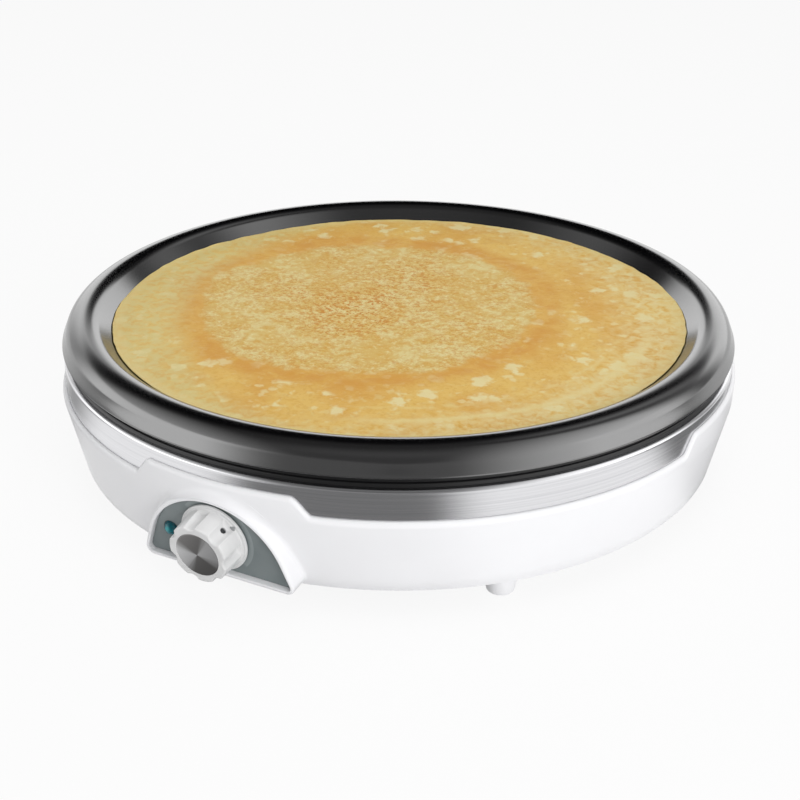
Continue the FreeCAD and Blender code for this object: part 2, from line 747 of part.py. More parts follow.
def element_path():
    """Two rings joined by a hairpin, with both ends turned down beside each other."""
    z = element_z()
    middle_r = (TUBE_OUTER_R + TUBE_INNER_R) / 2
    hairpin = (TUBE_OUTER_R - TUBE_INNER_R) / 2
    mid = (TUBE_START + TUBE_TURN) / 2
    turn_tip = at_angle(middle_r, TUBE_TURN, z) + at_angle(hairpin, TUBE_TURN + 90)
    outer_start = at_angle(TUBE_OUTER_R, TUBE_START, z)
    inner_end = at_angle(TUBE_INNER_R, TUBE_START, z)
    outer_turn = at_angle(TUBE_OUTER_R, TUBE_TURN, z)
    inner_turn = at_angle(TUBE_INNER_R, TUBE_TURN, z)
    away = at_angle(1, TUBE_START - 90)
    bend_in = TUBE_BEND_R * math.sin(math.radians(45))
    bend_down = TUBE_BEND_R * (1 - math.cos(math.radians(45)))

    def end_edges(here):
        middle = here + away * bend_in - UP * bend_down
        lower = here + away * TUBE_BEND_R - UP * TUBE_BEND_R
        return lower, middle, lower - UP * TUBE_TAIL

    lower_a, middle_a, tip_a = end_edges(outer_start)
    lower_b, middle_b, tip_b = end_edges(inner_end)
    return Part.Wire([
        Part.LineSegment(tip_a, lower_a).toShape(),
        Part.Arc(lower_a, middle_a, outer_start).toShape(),
        Part.Arc(outer_start, at_angle(TUBE_OUTER_R, mid, z), outer_turn).toShape(),
        Part.Arc(outer_turn, turn_tip, inner_turn).toShape(),
        Part.Arc(inner_turn, at_angle(TUBE_INNER_R, mid, z), inner_end).toShape(),
        Part.Arc(inner_end, middle_b, lower_b).toShape(),
        Part.LineSegment(lower_b, tip_b).toShape(),
    ])


def element_end(radius):
    """Lower end of one leg of the element."""
    top = at_angle(radius, TUBE_START, element_z()) + at_angle(TUBE_BEND_R, TUBE_START - 90)
    return top - UP * (TUBE_BEND_R + TUBE_TAIL)


def heating_element():
    return tube(element_path(), TUBE_R)


def element_pins():
    pins = []
    for radius in (TUBE_OUTER_R, TUBE_INNER_R):
        pins.append(Part.makeCylinder(PIN_R, PIN_L, element_end(radius) - UP * PIN_L))
    return Part.makeCompound(pins)


def element_clamps():
    inner = TUBE_INNER_R - CLAMP_REACH
    length = TUBE_OUTER_R + CLAMP_REACH - inner
    strap = Part.makeBox(length, CLAMP_W, CLAMP_T, Vector(inner, -CLAMP_W / 2, clamp_top() - CLAMP_T))
    low = Vector(clamp_screw_r(), 0, clamp_top() - 2 * CLAMP_T)
    hole = Part.makeCylinder(SMALL_SCREW_R + GAP, 4 * CLAMP_T, low)
    return Part.makeCompound(repeated(strap.cut(hole), CLAMP_COUNT, CLAMP_START))


def clamp_screws():
    screw = small_screw(clamp_screw_r(), 0, clamp_top() - CLAMP_T, SMALL_BITE)
    return Part.makeCompound(repeated(screw, CLAMP_COUNT, CLAMP_START))


def reflector_z():
    return Z_PLATE - REFLECTOR_DROP


def heat_reflector():
    z = reflector_z()
    top = z + REFLECTOR_RIM
    dish = turned([
        (0, z), (REFLECTOR_R - REFLECTOR_RIM, z), (REFLECTOR_R, top), (REFLECTOR_R - REFLECTOR_T, top),
        (REFLECTOR_R - REFLECTOR_RIM - REFLECTOR_T / 2, z + REFLECTOR_T), (0, z + REFLECTOR_T),
    ])
    low = z - DRILL / 2
    hole = Part.makeCylinder(ROD_R + LOOSE, DRILL, Vector(ROD_CIRCLE_R, 0, low))
    holes = repeated(hole, FOOT_COUNT, FOOT_ANGLE)
    for radius in (TUBE_OUTER_R, TUBE_INNER_R):
        end = element_end(radius)
        holes.append(Part.makeCylinder(REFLECTOR_HOLE_R, DRILL, Vector(end.x, end.y, low)))
    for x in fuse_wire_x():
        holes.append(Part.makeCylinder(REFLECTOR_HOLE_R / 2, DRILL, Vector(x, FUSE_Y, low)))
    tag = earth_tag_end()
    holes.append(Part.makeCylinder(REFLECTOR_HOLE_R / 2, DRILL, Vector(tag.x, tag.y, low)))
    return dish.cut(Part.makeCompound(holes))


def fuse_z():
    return Z_PLATE - FUSE_R - GAP


def fuse_wire_x():
    reach = FUSE_L / 2 + FUSE_LEAD_L
    return (-reach, reach)


def thermal_fuse():
    body = Part.makeCylinder(FUSE_R, FUSE_L, Vector(-FUSE_L / 2, FUSE_Y, fuse_z()), SIDE)
    body = body.makeFillet(FUSE_R / 4, body.Edges[:1])
    for side in (-1, 1):
        start = Vector(side * (FUSE_L / 2 - 1), FUSE_Y, fuse_z())
        elbow = Vector(side * (FUSE_L / 2 + FUSE_LEAD_L), FUSE_Y, fuse_z())
        end = elbow - UP * (FUSE_LEAD_L / 2)
        body = body.fuse(tube(path_wire([start, elbow, end], 2 * FUSE_LEAD_R), FUSE_LEAD_R))
    return body


def fuse_clip():
    x, y = fuse_screws()[0]
    top = fuse_z() - FUSE_R - GAP
    reach = FUSE_Y + FUSE_R - (y - SMALL_HEAD_R)
    corner = Vector(-FUSE_CLIP_W / 2, y - SMALL_HEAD_R, top)
    strap = Part.makeBox(FUSE_CLIP_W, reach, FUSE_CLIP_T, corner - UP * FUSE_CLIP_T)
    spacer = Z_PLATE - 2 * FUSE_R
    post = Part.makeBox(FUSE_CLIP_W, SMALL_HEAD_R, spacer - top, corner)
    hole = Part.makeCylinder(SMALL_SCREW_R + GAP, DRILL, Vector(x, y, top - DRILL / 2))
    return strap.fuse(post).cut(hole).removeSplitter()


def fuse_clip_screw():
    x, y = fuse_screws()[0]
    top = fuse_z() - FUSE_R - GAP - FUSE_CLIP_T
    return small_screw(x, y, top, SMALL_BITE)


def earth_tag_end():
    return Vector(0, EARTH_Y + EARTH_TAG_L, Z_PLATE - 2 * FUSE_R - CLAMP_T / 2)


def earth_tag():
    """Ring tag under the plate's earth boss, its tongue towards the back."""
    z = Z_PLATE - 2 * FUSE_R - CLAMP_T
    tag = ring(SMALL_HEAD_R + 1, SMALL_SCREW_R + GAP, z, CLAMP_T)
    length = earth_tag_end().y - EARTH_Y - SMALL_HEAD_R + 1
    tongue = Part.makeBox(EARTH_TAG_W, length, CLAMP_T, Vector(-EARTH_TAG_W / 2, SMALL_HEAD_R, z))
    tag = tag.fuse(tongue).removeSplitter()
    tag.translate(Vector(0, EARTH_Y, 0))
    return tag


def earth_screw():
    return small_screw(0, EARTH_Y, Z_PLATE - 2 * FUSE_R - CLAMP_T, SMALL_BITE)


def panel_back():
    return -PANEL_RECESS - PANEL_T


def control_panel():
    plate = arch_prism(HOOD_FRAME + GAP, panel_back(), -PANEL_RECESS)
    low = panel_back() - DRILL / 2
    plate = plate.cut(Part.makeCylinder(BUSH_R + GAP, DRILL, Vector(0, KNOB_V, low)))
    plate = plate.cut(Part.makeCylinder(LENS_R + GAP, DRILL, Vector(LAMP_X, LAMP_V, low)))
    for side in (-1, 1):
        plate = plate.cut(countersunk(side * STAT_SCREW_X, KNOB_V, GAP))
        boss_hole = Part.makeCylinder(SMALL_SCREW_R + THREAD_FIT, PANEL_T * 0.7,
                                      Vector(side * PANEL_SCREW_X, PANEL_SCREW_V, panel_back() - 0.01))
        plate = plate.cut(boss_hole)
    return panel_frame(plate)


def countersunk(x, v, room=0.0):
    """Countersunk screw through the panel into the thermostat's frame, head flush with the front."""
    shank_r = STAT_SCREW_R + room
    head = Part.makeCone(shank_r, STAT_HEAD_R + room, STAT_HEAD_T, Vector(x, v, -PANEL_RECESS - STAT_HEAD_T))
    length = PANEL_T + STAT_T - STAT_HEAD_T + room
    shank = Part.makeCylinder(shank_r, length, Vector(x, v, -PANEL_RECESS - STAT_HEAD_T - length))
    return head.fuse(shank)


def thermostat_screws():
    return panel_frame(Part.makeCompound([countersunk(side * STAT_SCREW_X, KNOB_V) for side in (-1, 1)]))


def panel_screws():
    screws = []
    for side in (-1, 1):
        z = panel_back() - PANEL_TAB_T
        screws.append(small_screw(side * PANEL_SCREW_X, PANEL_SCREW_V, z, PANEL_TAB_T + PANEL_T * 0.6))
    return panel_frame(Part.makeCompound(screws))


def knob_body():
    back = -PANEL_RECESS + KNOB_SKIRT_GAP
    skirt_top = back + KNOB_SKIRT_T
    cap_floor = KNOB_FACE_Q - CAP_T
    roof = cap_floor - KNOB_WALL
    inner = FLUTE_FLOOR_R - KNOB_WALL
    edge = KNOB_SKIRT_T * 0.4
    body = turned([
        (KNOB_HUB_R, back), (KNOB_HUB_R, roof), (inner, roof), (inner, back), (KNOB_SKIRT_R - edge, back),
        (KNOB_SKIRT_R, back + edge), (KNOB_SKIRT_R, skirt_top - edge), (KNOB_SKIRT_R - edge, skirt_top),
        (KNOB_ROOT_R, skirt_top + edge), (KNOB_FACE_R, KNOB_FACE_Q - edge), (KNOB_FACE_R - edge, KNOB_FACE_Q),
        (CAP_R + GAP, KNOB_FACE_Q), (CAP_R + GAP, cap_floor), (0, cap_floor), (0, back),
    ])
    flute = Part.makeCylinder(FLUTE_R, KNOB_FACE_Q, Vector(FLUTE_FLOOR_R + FLUTE_R, 0, skirt_top + edge))
    dimple = Part.makeCylinder(DIMPLE_R, FLUTE_R, Vector(FLUTE_FLOOR_R - DIMPLE_DEPTH, 0, DIMPLE_Q), SIDE)
    body = body.cut(Part.makeCompound(repeated(flute, FLUTE_COUNT, 90 - KNOB_ANGLE)))
    dimple.rotate(Vector(0, 0, 0), UP, 90 - KNOB_ANGLE)
    body = body.cut(dimple)
    corner = Vector(POINTER_ROOT_R, -POINTER_HALF, 0)
    triangle = [corner, Vector(POINTER_TIP_R, 0, 0), Vector(POINTER_ROOT_R, POINTER_HALF, 0), corner]
    pointer = Part.Face(Part.makePolygon(triangle)).extrude(Vector(0, 0, edge + POINTER_T))
    pointer.translate(Vector(0, 0, skirt_top))
    pointer.rotate(Vector(0, 0, 0), UP, 90 - KNOB_ANGLE)
    body = body.fuse(pointer)
    bore = d_section(SPINDLE_R + RUN_FIT, back - 1, SPINDLE_IN_KNOB + GAP - (back - 1))
    return panel_frame(body.cut(bore).removeSplitter(), 0, KNOB_V)


def d_section(radius, q, length):
    """Round bar with one flat, the section that turns knob and spindle together."""
    bar = Part.makeCylinder(radius, length, Vector(0, 0, q))
    flat = Part.makeBox(4 * radius, 2 * radius, length, Vector(-2 * radius, SPINDLE_R - SPINDLE_FLAT, q))
    flat.translate(Vector(0, radius - SPINDLE_R, 0))
    return bar.cut(flat)


def knob_cap():
    floor = KNOB_FACE_Q - CAP_T
    edge = CAP_T * 0.4
    disc = turned([
        (0, floor), (CAP_R, floor), (CAP_R, KNOB_FACE_Q - edge), (CAP_R - edge, KNOB_FACE_Q), (0, KNOB_FACE_Q),
    ])
    return panel_frame(disc, 0, KNOB_V)


def bush_inner():
    return panel_back() - BUSH_INSIDE


def spindle_tip():
    return panel_back() - SPINDLE_INSIDE


def knob_spindle():
    round_top = -PANEL_RECESS
    lower = Part.makeCylinder(SPINDLE_R, round_top - spindle_tip(), Vector(0, 0, spindle_tip()))
    upper = d_section(SPINDLE_R, round_top, SPINDLE_IN_KNOB - round_top)
    return panel_frame(lower.fuse(upper).removeSplitter(), 0, KNOB_V)


def thermostat_frame():
    """Steel saddle against the panel's back, with the bush that guides spindle and striker."""
    top = panel_back()
    length = STAT_X + STAT_STACK_X + STACK_R + 1
    plate = Part.makeBox(length, 2 * STAT_HALF_W, STAT_T, Vector(-STAT_X, -STAT_HALF_W, top - STAT_T))
    bush = Part.makeCylinder(BUSH_R, -PANEL_RECESS - bush_inner(), Vector(0, 0, bush_inner()))
    frame = plate.fuse(bush)
    frame = frame.cut(Part.makeCylinder(SPINDLE_R + RUN_FIT, DRILL, Vector(0, 0, spindle_tip() - GAP)))
    frame = frame.cut(Part.makeCylinder(STRIKER_R + RUN_FIT, DRILL, Vector(0, 0, bush_inner() - 1)))
    low = top - DRILL / 2
    for side in (-1, 1):
        hole = Part.makeCylinder(STAT_SCREW_R + THREAD_FIT, DRILL, Vector(side * STAT_SCREW_X, 0, low))
        frame = frame.cut(hole)
    frame = frame.cut(Part.makeCylinder(STACK_BORE_R, DRILL, Vector(STAT_STACK_X, 0, low)))
    return panel_frame(frame.removeSplitter(), 0, KNOB_V)


def blade_q(level):
    """Upper face of a blade in the contact stack; level 0 is the moving one."""
    return panel_back() - STAT_T - STACK_FIRST - level * (STACK_REST + BLADE_T)


def striker_pin():
    top = spindle_tip() - GAP - STRIKER_TRAVEL - 0.2
    bottom = blade_q(0) + GAP
    pin = Part.makeCylinder(STRIKER_R, top - bottom, Vector(0, 0, bottom))
    return panel_frame(pin, 0, KNOB_V)


def blade_hinge_x():
    """Where the moving blade leaves the stack, just clear of the ceramic."""
    return STAT_STACK_X - STACK_R - LOOSE


def contact_blade():
    q = blade_q(0) - BLADE_T
    reach = BLADE_REACH - STACK_R
    blade = Part.makeBox(reach, 2 * BLADE_HALF_W, BLADE_T, Vector(blade_hinge_x() - reach, -BLADE_HALF_W, q))
    x = blade_hinge_x() - reach + CONTACT_R + 0.5
    blade = blade.fuse(Part.makeCylinder(CONTACT_R, CONTACT_T, Vector(x, 0, q - CONTACT_T)))
    return panel_frame(blade.removeSplitter(), 0, KNOB_V)


def strip_in_stack(level, spade_side, reach):
    """Strip clamped in the stack: a root with its bore, a spade outwards and an arm inwards."""
    q = blade_q(level) - BLADE_T
    half = BLADE_HALF_W
    inner = STAT_STACK_X - reach
    strip = Part.makeBox(STAT_STACK_X + STACK_R - inner, 2 * half, BLADE_T, Vector(inner, -half, q))
    strip = strip.fuse(Part.makeCylinder(STACK_R, BLADE_T, Vector(STAT_STACK_X, 0, q)))
    if spade_side:
        corner = Vector(STAT_STACK_X, -SPADE_HALF_W, q)
        strip = strip.fuse(Part.makeBox(STACK_R + SPADE_L, 2 * SPADE_HALF_W, BLADE_T, corner))
    return strip.cut(Part.makeCylinder(STACK_BORE_R, DRILL, Vector(STAT_STACK_X, 0, q - DRILL / 2)))


def blade_terminal():
    return panel_frame(strip_in_stack(0, True, STACK_R), 0, KNOB_V)


def fixed_contact_arm():
    arm = strip_in_stack(1, True, BLADE_REACH)
    x = blade_hinge_x() - (BLADE_REACH - STACK_R) + CONTACT_R + 0.5
    arm = arm.fuse(Part.makeCylinder(CONTACT_R, CONTACT_T, Vector(x, 0, blade_q(1))))
    return panel_frame(arm.removeSplitter(), 0, KNOB_V)


def bimetal_strip():
    return panel_frame(strip_in_stack(2, False, BLADE_REACH + 4).removeSplitter(), 0, KNOB_V)


def stack_ceramics():
    """Ceramic spacers between the frame and the strips, on one rivet."""
    spacers = []
    tops = [panel_back() - STAT_T, blade_q(0) - BLADE_T, blade_q(1) - BLADE_T, blade_q(2) - BLADE_T]
    bottoms = [blade_q(0), blade_q(1), blade_q(2), blade_q(2) - BLADE_T - STACK_REST]
    for top, bottom in zip(tops, bottoms):
        spacer = ring(STACK_R, STACK_BORE_R, bottom, top - bottom)
        spacer.translate(Vector(STAT_STACK_X, 0, 0))
        spacers.append(spacer)
    return panel_frame(Part.makeCompound(spacers), 0, KNOB_V)


def stack_rivet():
    bottom = blade_q(2) - BLADE_T - STACK_REST
    top = panel_back() - LOOSE
    shank = Part.makeCylinder(STACK_BORE_R - GAP, top - bottom, Vector(STAT_STACK_X, 0, bottom))
    head = Part.makeCylinder(RIVET_HEAD_R, RIVET_HEAD_T, Vector(STAT_STACK_X, 0, bottom - RIVET_HEAD_T))
    return panel_frame(shank.fuse(head).removeSplitter(), 0, KNOB_V)


def pilot_lens():
    front = -PANEL_RECESS
    base = panel_back()
    inner = LENS_R - LENS_WALL
    lens = turned([
        (inner, base - LENS_FLANGE_T), (LENS_FLANGE_R, base - LENS_FLANGE_T), (LENS_FLANGE_R, base),
        (LENS_R, base), (LENS_R, front), (dome_middle(LENS_R, LENS_DOME, front), (0, front + LENS_DOME)),
        (0, front + LENS_DOME - LENS_WALL),
        (dome_middle(inner, LENS_DOME - LENS_WALL, front), (inner, front)),
    ])
    return panel_frame(lens, LAMP_X, LAMP_V)


def holder_top():
    return panel_back() - LENS_FLANGE_T


def lamp_holder():
    inner = BULB_R + LOOSE
    outer = inner + HOLDER_WALL
    holder = turned([
        (inner, holder_top()), (LENS_FLANGE_R, holder_top()), (LENS_FLANGE_R, holder_top() - 2),
        (outer, holder_top() - 3), (outer, holder_top() - HOLDER_L), (inner, holder_top() - HOLDER_L),
    ])
    return panel_frame(holder, LAMP_X, LAMP_V)


def neon_bulb():
    """Glass neon with a rounded tip and its two short legs, held in the holder's sleeve."""
    top = holder_top() + 2
    bottom = top - BULB_L
    tip = BULB_R * 0.7
    collar = BULB_R + 0.2
    glass = turned([
        (0, bottom), (collar, bottom), (collar, bottom + 2), (BULB_R, bottom + 3), (BULB_R, top - tip),
        (dome_middle(BULB_R, tip, top - tip), (0, top)),
    ])
    for side in (-1, 1):
        glass = glass.fuse(Part.makeCylinder(LEG_R, LEG_L, Vector(side * LEG_X, 0, bottom - LEG_L)))
    return panel_frame(glass, LAMP_X, LAMP_V)


def lamp_leg(side):
    """Lower end of one leg of the neon bulb."""
    return control_point(LAMP_X + side * LEG_X, LAMP_V, holder_top() + 2 - BULB_L - LEG_L)


def cord_gland():
    inner_y = GLAND_FACE_Y - GLAND_INSIDE
    body = Part.makeCylinder(GLAND_BODY_R, GLAND_INSIDE, Vector(0, inner_y, GLAND_Z), BACK)
    flange = Part.makeCylinder(GLAND_FLANGE_R, GLAND_FLANGE_T, Vector(0, GLAND_FACE_Y, GLAND_Z), BACK)
    edge = [item for item in flange.Edges if item.BoundBox.YMin > GLAND_FACE_Y + GLAND_FLANGE_T / 2]
    flange = flange.makeFillet(GLAND_FLANGE_T / 3, edge)
    bore = Part.makeCylinder(GLAND_BORE_R, 3 * GLAND_INSIDE, Vector(0, inner_y - GLAND_INSIDE, GLAND_Z), BACK)
    return body.fuse(flange).cut(bore).removeSplitter()


def gland_nut():
    y = GLAND_FACE_Y - PAD_DEPTH - GLAND_NUT_T
    nut = hexagon(GLAND_NUT_R * 0.9, 0, GLAND_NUT_T, GLAND_BODY_R + THREAD_FIT)
    nut.rotate(Vector(0, 0, 0), SIDE, -90)
    nut.translate(Vector(0, y, GLAND_Z))
    return nut


def cover_top():
    return Z_SHELL + COVER_RECESS + COVER_T


def block_screw_x():
    return (-BLOCK_SCREW_X, BLOCK_SCREW_X)


def block_port_x():
    return (-BLOCK_PITCH, 0.0, BLOCK_PITCH)


def block_wire_z():
    return cover_top() + BLOCK_SIZE.z * 0.4


def terminal_block():
    corner = Vector(-BLOCK_SIZE.x / 2, BLOCK_Y - BLOCK_SIZE.y / 2, cover_top())
    block = Part.makeBox(BLOCK_SIZE.x, BLOCK_SIZE.y, BLOCK_SIZE.z, corner)
    for x in block_screw_x():
        low = Vector(x, BLOCK_Y, cover_top() - 1)
        block = block.cut(Part.makeCylinder(SMALL_SCREW_R + LOOSE, BLOCK_SIZE.z + 2, low))
        notch_corner = Vector(x - BLOCK_NOTCH_W / 2, corner.y, cover_top() + BLOCK_SIZE.z - BLOCK_NOTCH_H)
        notch = Part.makeBox(BLOCK_NOTCH_W, BLOCK_SIZE.y, BLOCK_NOTCH_H, notch_corner)
        block = block.cut(notch)
    for x in block_port_x():
        start = Vector(x, corner.y - 1, block_wire_z())
        block = block.cut(Part.makeCylinder(BLOCK_BORE_R, BLOCK_SIZE.y + 2, start, BACK))
        port = Vector(x, BLOCK_Y, block_wire_z() + 1)
        block = block.cut(Part.makeCylinder(BLOCK_SCREW_PORT_R, BLOCK_SIZE.z, port))
    return block


def block_mount_screws():
    screws = []
    for x in block_screw_x():
        length = COVER_T + BLOCK_SIZE.z + SMALL_HEAD_T
        seat = Vector(x, BLOCK_Y, cover_top() - COVER_T)
        shank = Part.makeCylinder(SMALL_SCREW_R, length, seat)
        head = Part.makeCylinder(SMALL_HEAD_R, SMALL_HEAD_T, seat - UP * SMALL_HEAD_T)
        screws.append(shank.fuse(head).removeSplitter())
    return Part.makeCompound(screws)


def block_clamp_screws():
    screws = []
    for x in block_port_x():
        bottom = block_wire_z() + WIRE_R + GAP
        top = cover_top() + BLOCK_SIZE.z - 1
        screws.append(Part.makeCylinder(BLOCK_SCREW_PORT_R - GAP, top - bottom, Vector(x, BLOCK_Y, bottom)))
    return Part.makeCompound(screws)


def block_port(index, side):
    """End of a wire inside the block, and where it comes out; side 1 is the back."""
    x = block_port_x()[index]
    inside = Vector(x, BLOCK_Y + side * 1.0, block_wire_z())
    outside = Vector(x, BLOCK_Y + side * (BLOCK_SIZE.y / 2 + 12), block_wire_z())
    return inside, outside


def spade_tip(level):
    """Middle of a spade's outer end on the thermostat."""
    return control_point(STAT_STACK_X + STACK_R + SPADE_L + 0.1, KNOB_V, blade_q(level) - BLADE_T / 2)


def inside_base(x, y, z):
    """Point of a wire's route, its x and y in parts of the plate's radius."""
    return Vector(x * PLATE_R, y * PLATE_R, z)


def live_wire():
    inside, outside = block_port(2, -1)
    tip = spade_tip(1)
    points = [
        inside, outside, inside_base(0.35, 0.48, WIRE_LOW_Z), inside_base(0.56, 0.15, WIRE_LOW_Z),
        inside_base(0.52, -0.3, WIRE_LOW_Z), Vector(tip.x + 36, tip.y + 34, WIRE_LOW_Z + 4),
        tip + Vector(17, 6, -6), tip + Vector(7, 0, 0), tip,
    ]
    return tube(path_wire(points, WIRE_BEND), WIRE_R)


def switched_wire():
    tip = spade_tip(0)
    x = fuse_wire_x()[1]
    z = fuse_z() - FUSE_LEAD_L / 2 - 0.2
    points = [
        tip, tip + Vector(7, 0, 0), tip + Vector(15, 7, 8), Vector(tip.x + 8, tip.y + 46, WIRE_HIGH_Z),
        Vector(x, FUSE_Y - 12, WIRE_HIGH_Z), Vector(x, FUSE_Y, WIRE_HIGH_Z + 8), Vector(x, FUSE_Y, z),
    ]
    return tube(path_wire(points, WIRE_BEND), WIRE_R)


def fuse_wire():
    x = fuse_wire_x()[0]
    z = fuse_z() - FUSE_LEAD_L / 2 - 0.2
    end = element_end(TUBE_INNER_R) - UP * (PIN_L + 0.2)
    points = [
        Vector(x, FUSE_Y, z), Vector(x, FUSE_Y, WIRE_HIGH_Z - 2),
        Vector(x - 14, FUSE_Y - 24, WIRE_HIGH_Z - 14), Vector(end.x, end.y, WIRE_HIGH_Z - 14), end,
    ]
    return tube(path_wire(points, WIRE_BEND), WIRE_R)


def neutral_wire():
    inside, outside = block_port(0, -1)
    end = element_end(TUBE_OUTER_R) - UP * (PIN_L + 0.2)
    points = [
        inside, outside, inside_base(-0.32, 0.46, WIRE_LOW_Z), inside_base(-0.52, 0.1, WIRE_LOW_Z),
        inside_base(-0.39, -0.48, WIRE_LOW_Z), Vector(end.x, end.y, WIRE_LOW_Z + 4), end,
    ]
    return tube(path_wire(points, WIRE_BEND), WIRE_R)


def earth_wire():
    inside, outside = block_port(1, -1)
    end = earth_tag_end() - UP * (CLAMP_T / 2 + 0.1)
    points = [inside, outside, Vector(0, end.y + 18, WIRE_LOW_Z + 2), Vector(0, end.y, WIRE_LOW_Z + 16), end]
    return tube(path_wire(points, WIRE_BEND), WIRE_R)


def lamp_leads():
    """One lead to the switched spade, one to the element's outer pin."""
    inward = control_placement().Rotation.multVec(-UP)
    near = lamp_leg(1) + inward * GAP
    far = lamp_leg(-1) + inward * GAP
    tip = spade_tip(0)
    pin = element_end(TUBE_OUTER_R) - UP * (PIN_L * 0.6)
    first = [
        near, near + inward * 8, near + Vector(0, 14, 4), Vector(near.x + 10, near.y + 22, WIRE_HIGH_Z),
        Vector(tip.x - 4, near.y + 22, WIRE_HIGH_Z), Vector(tip.x - 4, tip.y + 4, WIRE_HIGH_Z),
        Vector(tip.x - 4, tip.y + 2, tip.z + SPADE_HALF_W + LEAD_R + 0.2),
    ]
    second = [
        far, far + inward * 8, far + Vector(-2, 16, -4),
        Vector(far.x + 4, pin.y - 18, WIRE_HIGH_Z - 20), Vector(pin.x - 10, pin.y, pin.z),
        pin - Vector(PIN_R + 0.1, 0, 0),
    ]
    return Part.makeCompound([tube(path_wire(first, 3), LEAD_R), tube(path_wire(second, 3), LEAD_R)])


PARTS = {
    "cooking_plate": cooking_plate, "crepe": crepe, "insulating_ring": insulating_ring, "trim_band": trim_band,
    "base_shell": base_shell, "bottom_cover": bottom_cover, "feet": feet, "foot_pads": foot_pads,
    "foot_screws": foot_screws, "tie_rods": tie_rods, "rod_nuts": rod_nuts, "rod_washers": rod_washers,
    "heating_element": heating_element, "element_pins": element_pins, "element_clamps": element_clamps,
    "clamp_screws": clamp_screws, "heat_reflector": heat_reflector, "thermal_fuse": thermal_fuse,
    "fuse_clip": fuse_clip, "fuse_clip_screw": fuse_clip_screw, "earth_tag": earth_tag, "earth_screw": earth_screw,
    "control_panel": control_panel, "panel_screws": panel_screws, "knob_body": knob_body, "knob_cap": knob_cap,
    "knob_spindle": knob_spindle, "thermostat_frame": thermostat_frame, "thermostat_screws": thermostat_screws,
    "striker_pin": striker_pin, "contact_blade": contact_blade, "blade_terminal": blade_terminal,
    "fixed_contact_arm": fixed_contact_arm, "bimetal_strip": bimetal_strip, "stack_ceramics": stack_ceramics,
    "stack_rivet": stack_rivet, "pilot_lens": pilot_lens, "lamp_holder": lamp_holder, "neon_bulb": neon_bulb,
    "cord_gland": cord_gland, "gland_nut": gland_nut, "terminal_block": terminal_block,
    "block_mount_screws": block_mount_screws, "block_clamp_screws": block_clamp_screws, "live_wire": live_wire,
    "switched_wire": switched_wire, "fuse_wire": fuse_wire, "neutral_wire": neutral_wire,
    "earth_wire": earth_wire, "lamp_leads": lamp_leads,
}


def main():
    os.makedirs("parts", exist_ok=True)
    shapes = {name: make() for name, make in PARTS.items()}
    front = shapes["knob_body"].optimalBoundingBox(False).YMin
    rear = GLAND_FACE_Y + GLAND_FLANGE_T
    shift = -(front + rear) / 2
    print("plate axis at y = %.3f" % shift)
    for name, shape in shapes.items():
        shape.translate(Vector(0, shift, 0))
        shape.exportStep("parts/" + name + ".step")
        print("%-20s solids %d volume %.1f" % (name, len(shape.Solids), shape.Volume))
    hinge = control_placement(0, KNOB_V, 0)
    print("knob axis point", hinge.Base + Vector(0, shift, 0), "axis", hinge.Rotation.multVec(UP))
    blade = control_point(blade_hinge_x(), KNOB_V, blade_q(0) - BLADE_T / 2)
    print("blade hinge", blade + Vector(0, shift, 0))


main()
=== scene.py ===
"""Looks of the crepe maker: detailed meshes, materials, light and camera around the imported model."""
import math

import bmesh
import bpy
import numpy as np
from mathutils import Matrix, Vector, noise


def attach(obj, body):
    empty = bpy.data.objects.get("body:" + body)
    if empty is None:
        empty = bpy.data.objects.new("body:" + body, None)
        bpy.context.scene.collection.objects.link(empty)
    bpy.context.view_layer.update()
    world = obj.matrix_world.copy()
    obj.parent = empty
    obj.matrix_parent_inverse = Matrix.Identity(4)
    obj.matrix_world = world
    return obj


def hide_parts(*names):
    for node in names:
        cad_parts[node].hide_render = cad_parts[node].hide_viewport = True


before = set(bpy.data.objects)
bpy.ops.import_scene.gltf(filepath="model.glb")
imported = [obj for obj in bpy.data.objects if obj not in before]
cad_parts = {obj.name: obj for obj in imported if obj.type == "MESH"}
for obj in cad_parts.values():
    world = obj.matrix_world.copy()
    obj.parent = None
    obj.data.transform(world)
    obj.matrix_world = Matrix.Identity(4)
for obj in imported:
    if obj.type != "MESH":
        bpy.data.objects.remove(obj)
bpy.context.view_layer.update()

MM = 0.001

# Foot of the plate's axis in the shared frame, in metres
AXIS = Vector((0, 0.007985, 0))

# Main sizes in millimetres, the same as in the part's source
Z_SHELL = 12.4
Z_LIP = 57.6
Z_DECK = 74.7
Z_PLATE = 80.8
Z_COOK = 85.3
RIM_CENTRE_R = 186.15
RIM_R = 12.2
Z_RIM = 83.4
RIM_SLOPE = 43.0
CREPE_T = 1.7
CLIMB_START_R = 169.6
CLIMB_SLOPE = 0.62
BAND_R = 199.7
BAND_T = 0.8
BAND_SEAT = 4.0
BAND_GAP = 0.1
SHELL_R = 202.0
SHELL_FOOT_R = 192.9
SHELL_WALL = 2.4
LIP_ROUND = 3.0
LIP_SLOPE = 14.0
LIP_RISE = 11.4
FOOT_CIRCLE_R = 180.0
GLAND_FACE_Y = 201.0
GLAND_Z = 32.0
PANEL_TILT = math.radians(7.75)
PANEL_Y = 202.0
PANEL_Z = 27.0
HOOD_HALF = 47.5
HOOD_BOTTOM = -15.4
HOOD_TOP = 32.6
HOOD_ARCH_R = 43.8
HOOD_CORNER = 5.0
HOOD_FRAME = 2.4
RECESS = 3.2
PANEL_BACK = 5.2
KNOB_V = 8.15
KNOB_ANGLE = 43.0
HIGHLIGHT_FAN_ANGLE = 22.0
SKIRT_TOP = -0.5
KNOB_FACE = 14.2
DIMPLE_Z = 3.6
DIMPLE_R = 1.75
LAMP_X = -28.7
LAMP_V = 4.3
LENS_R = 4.2

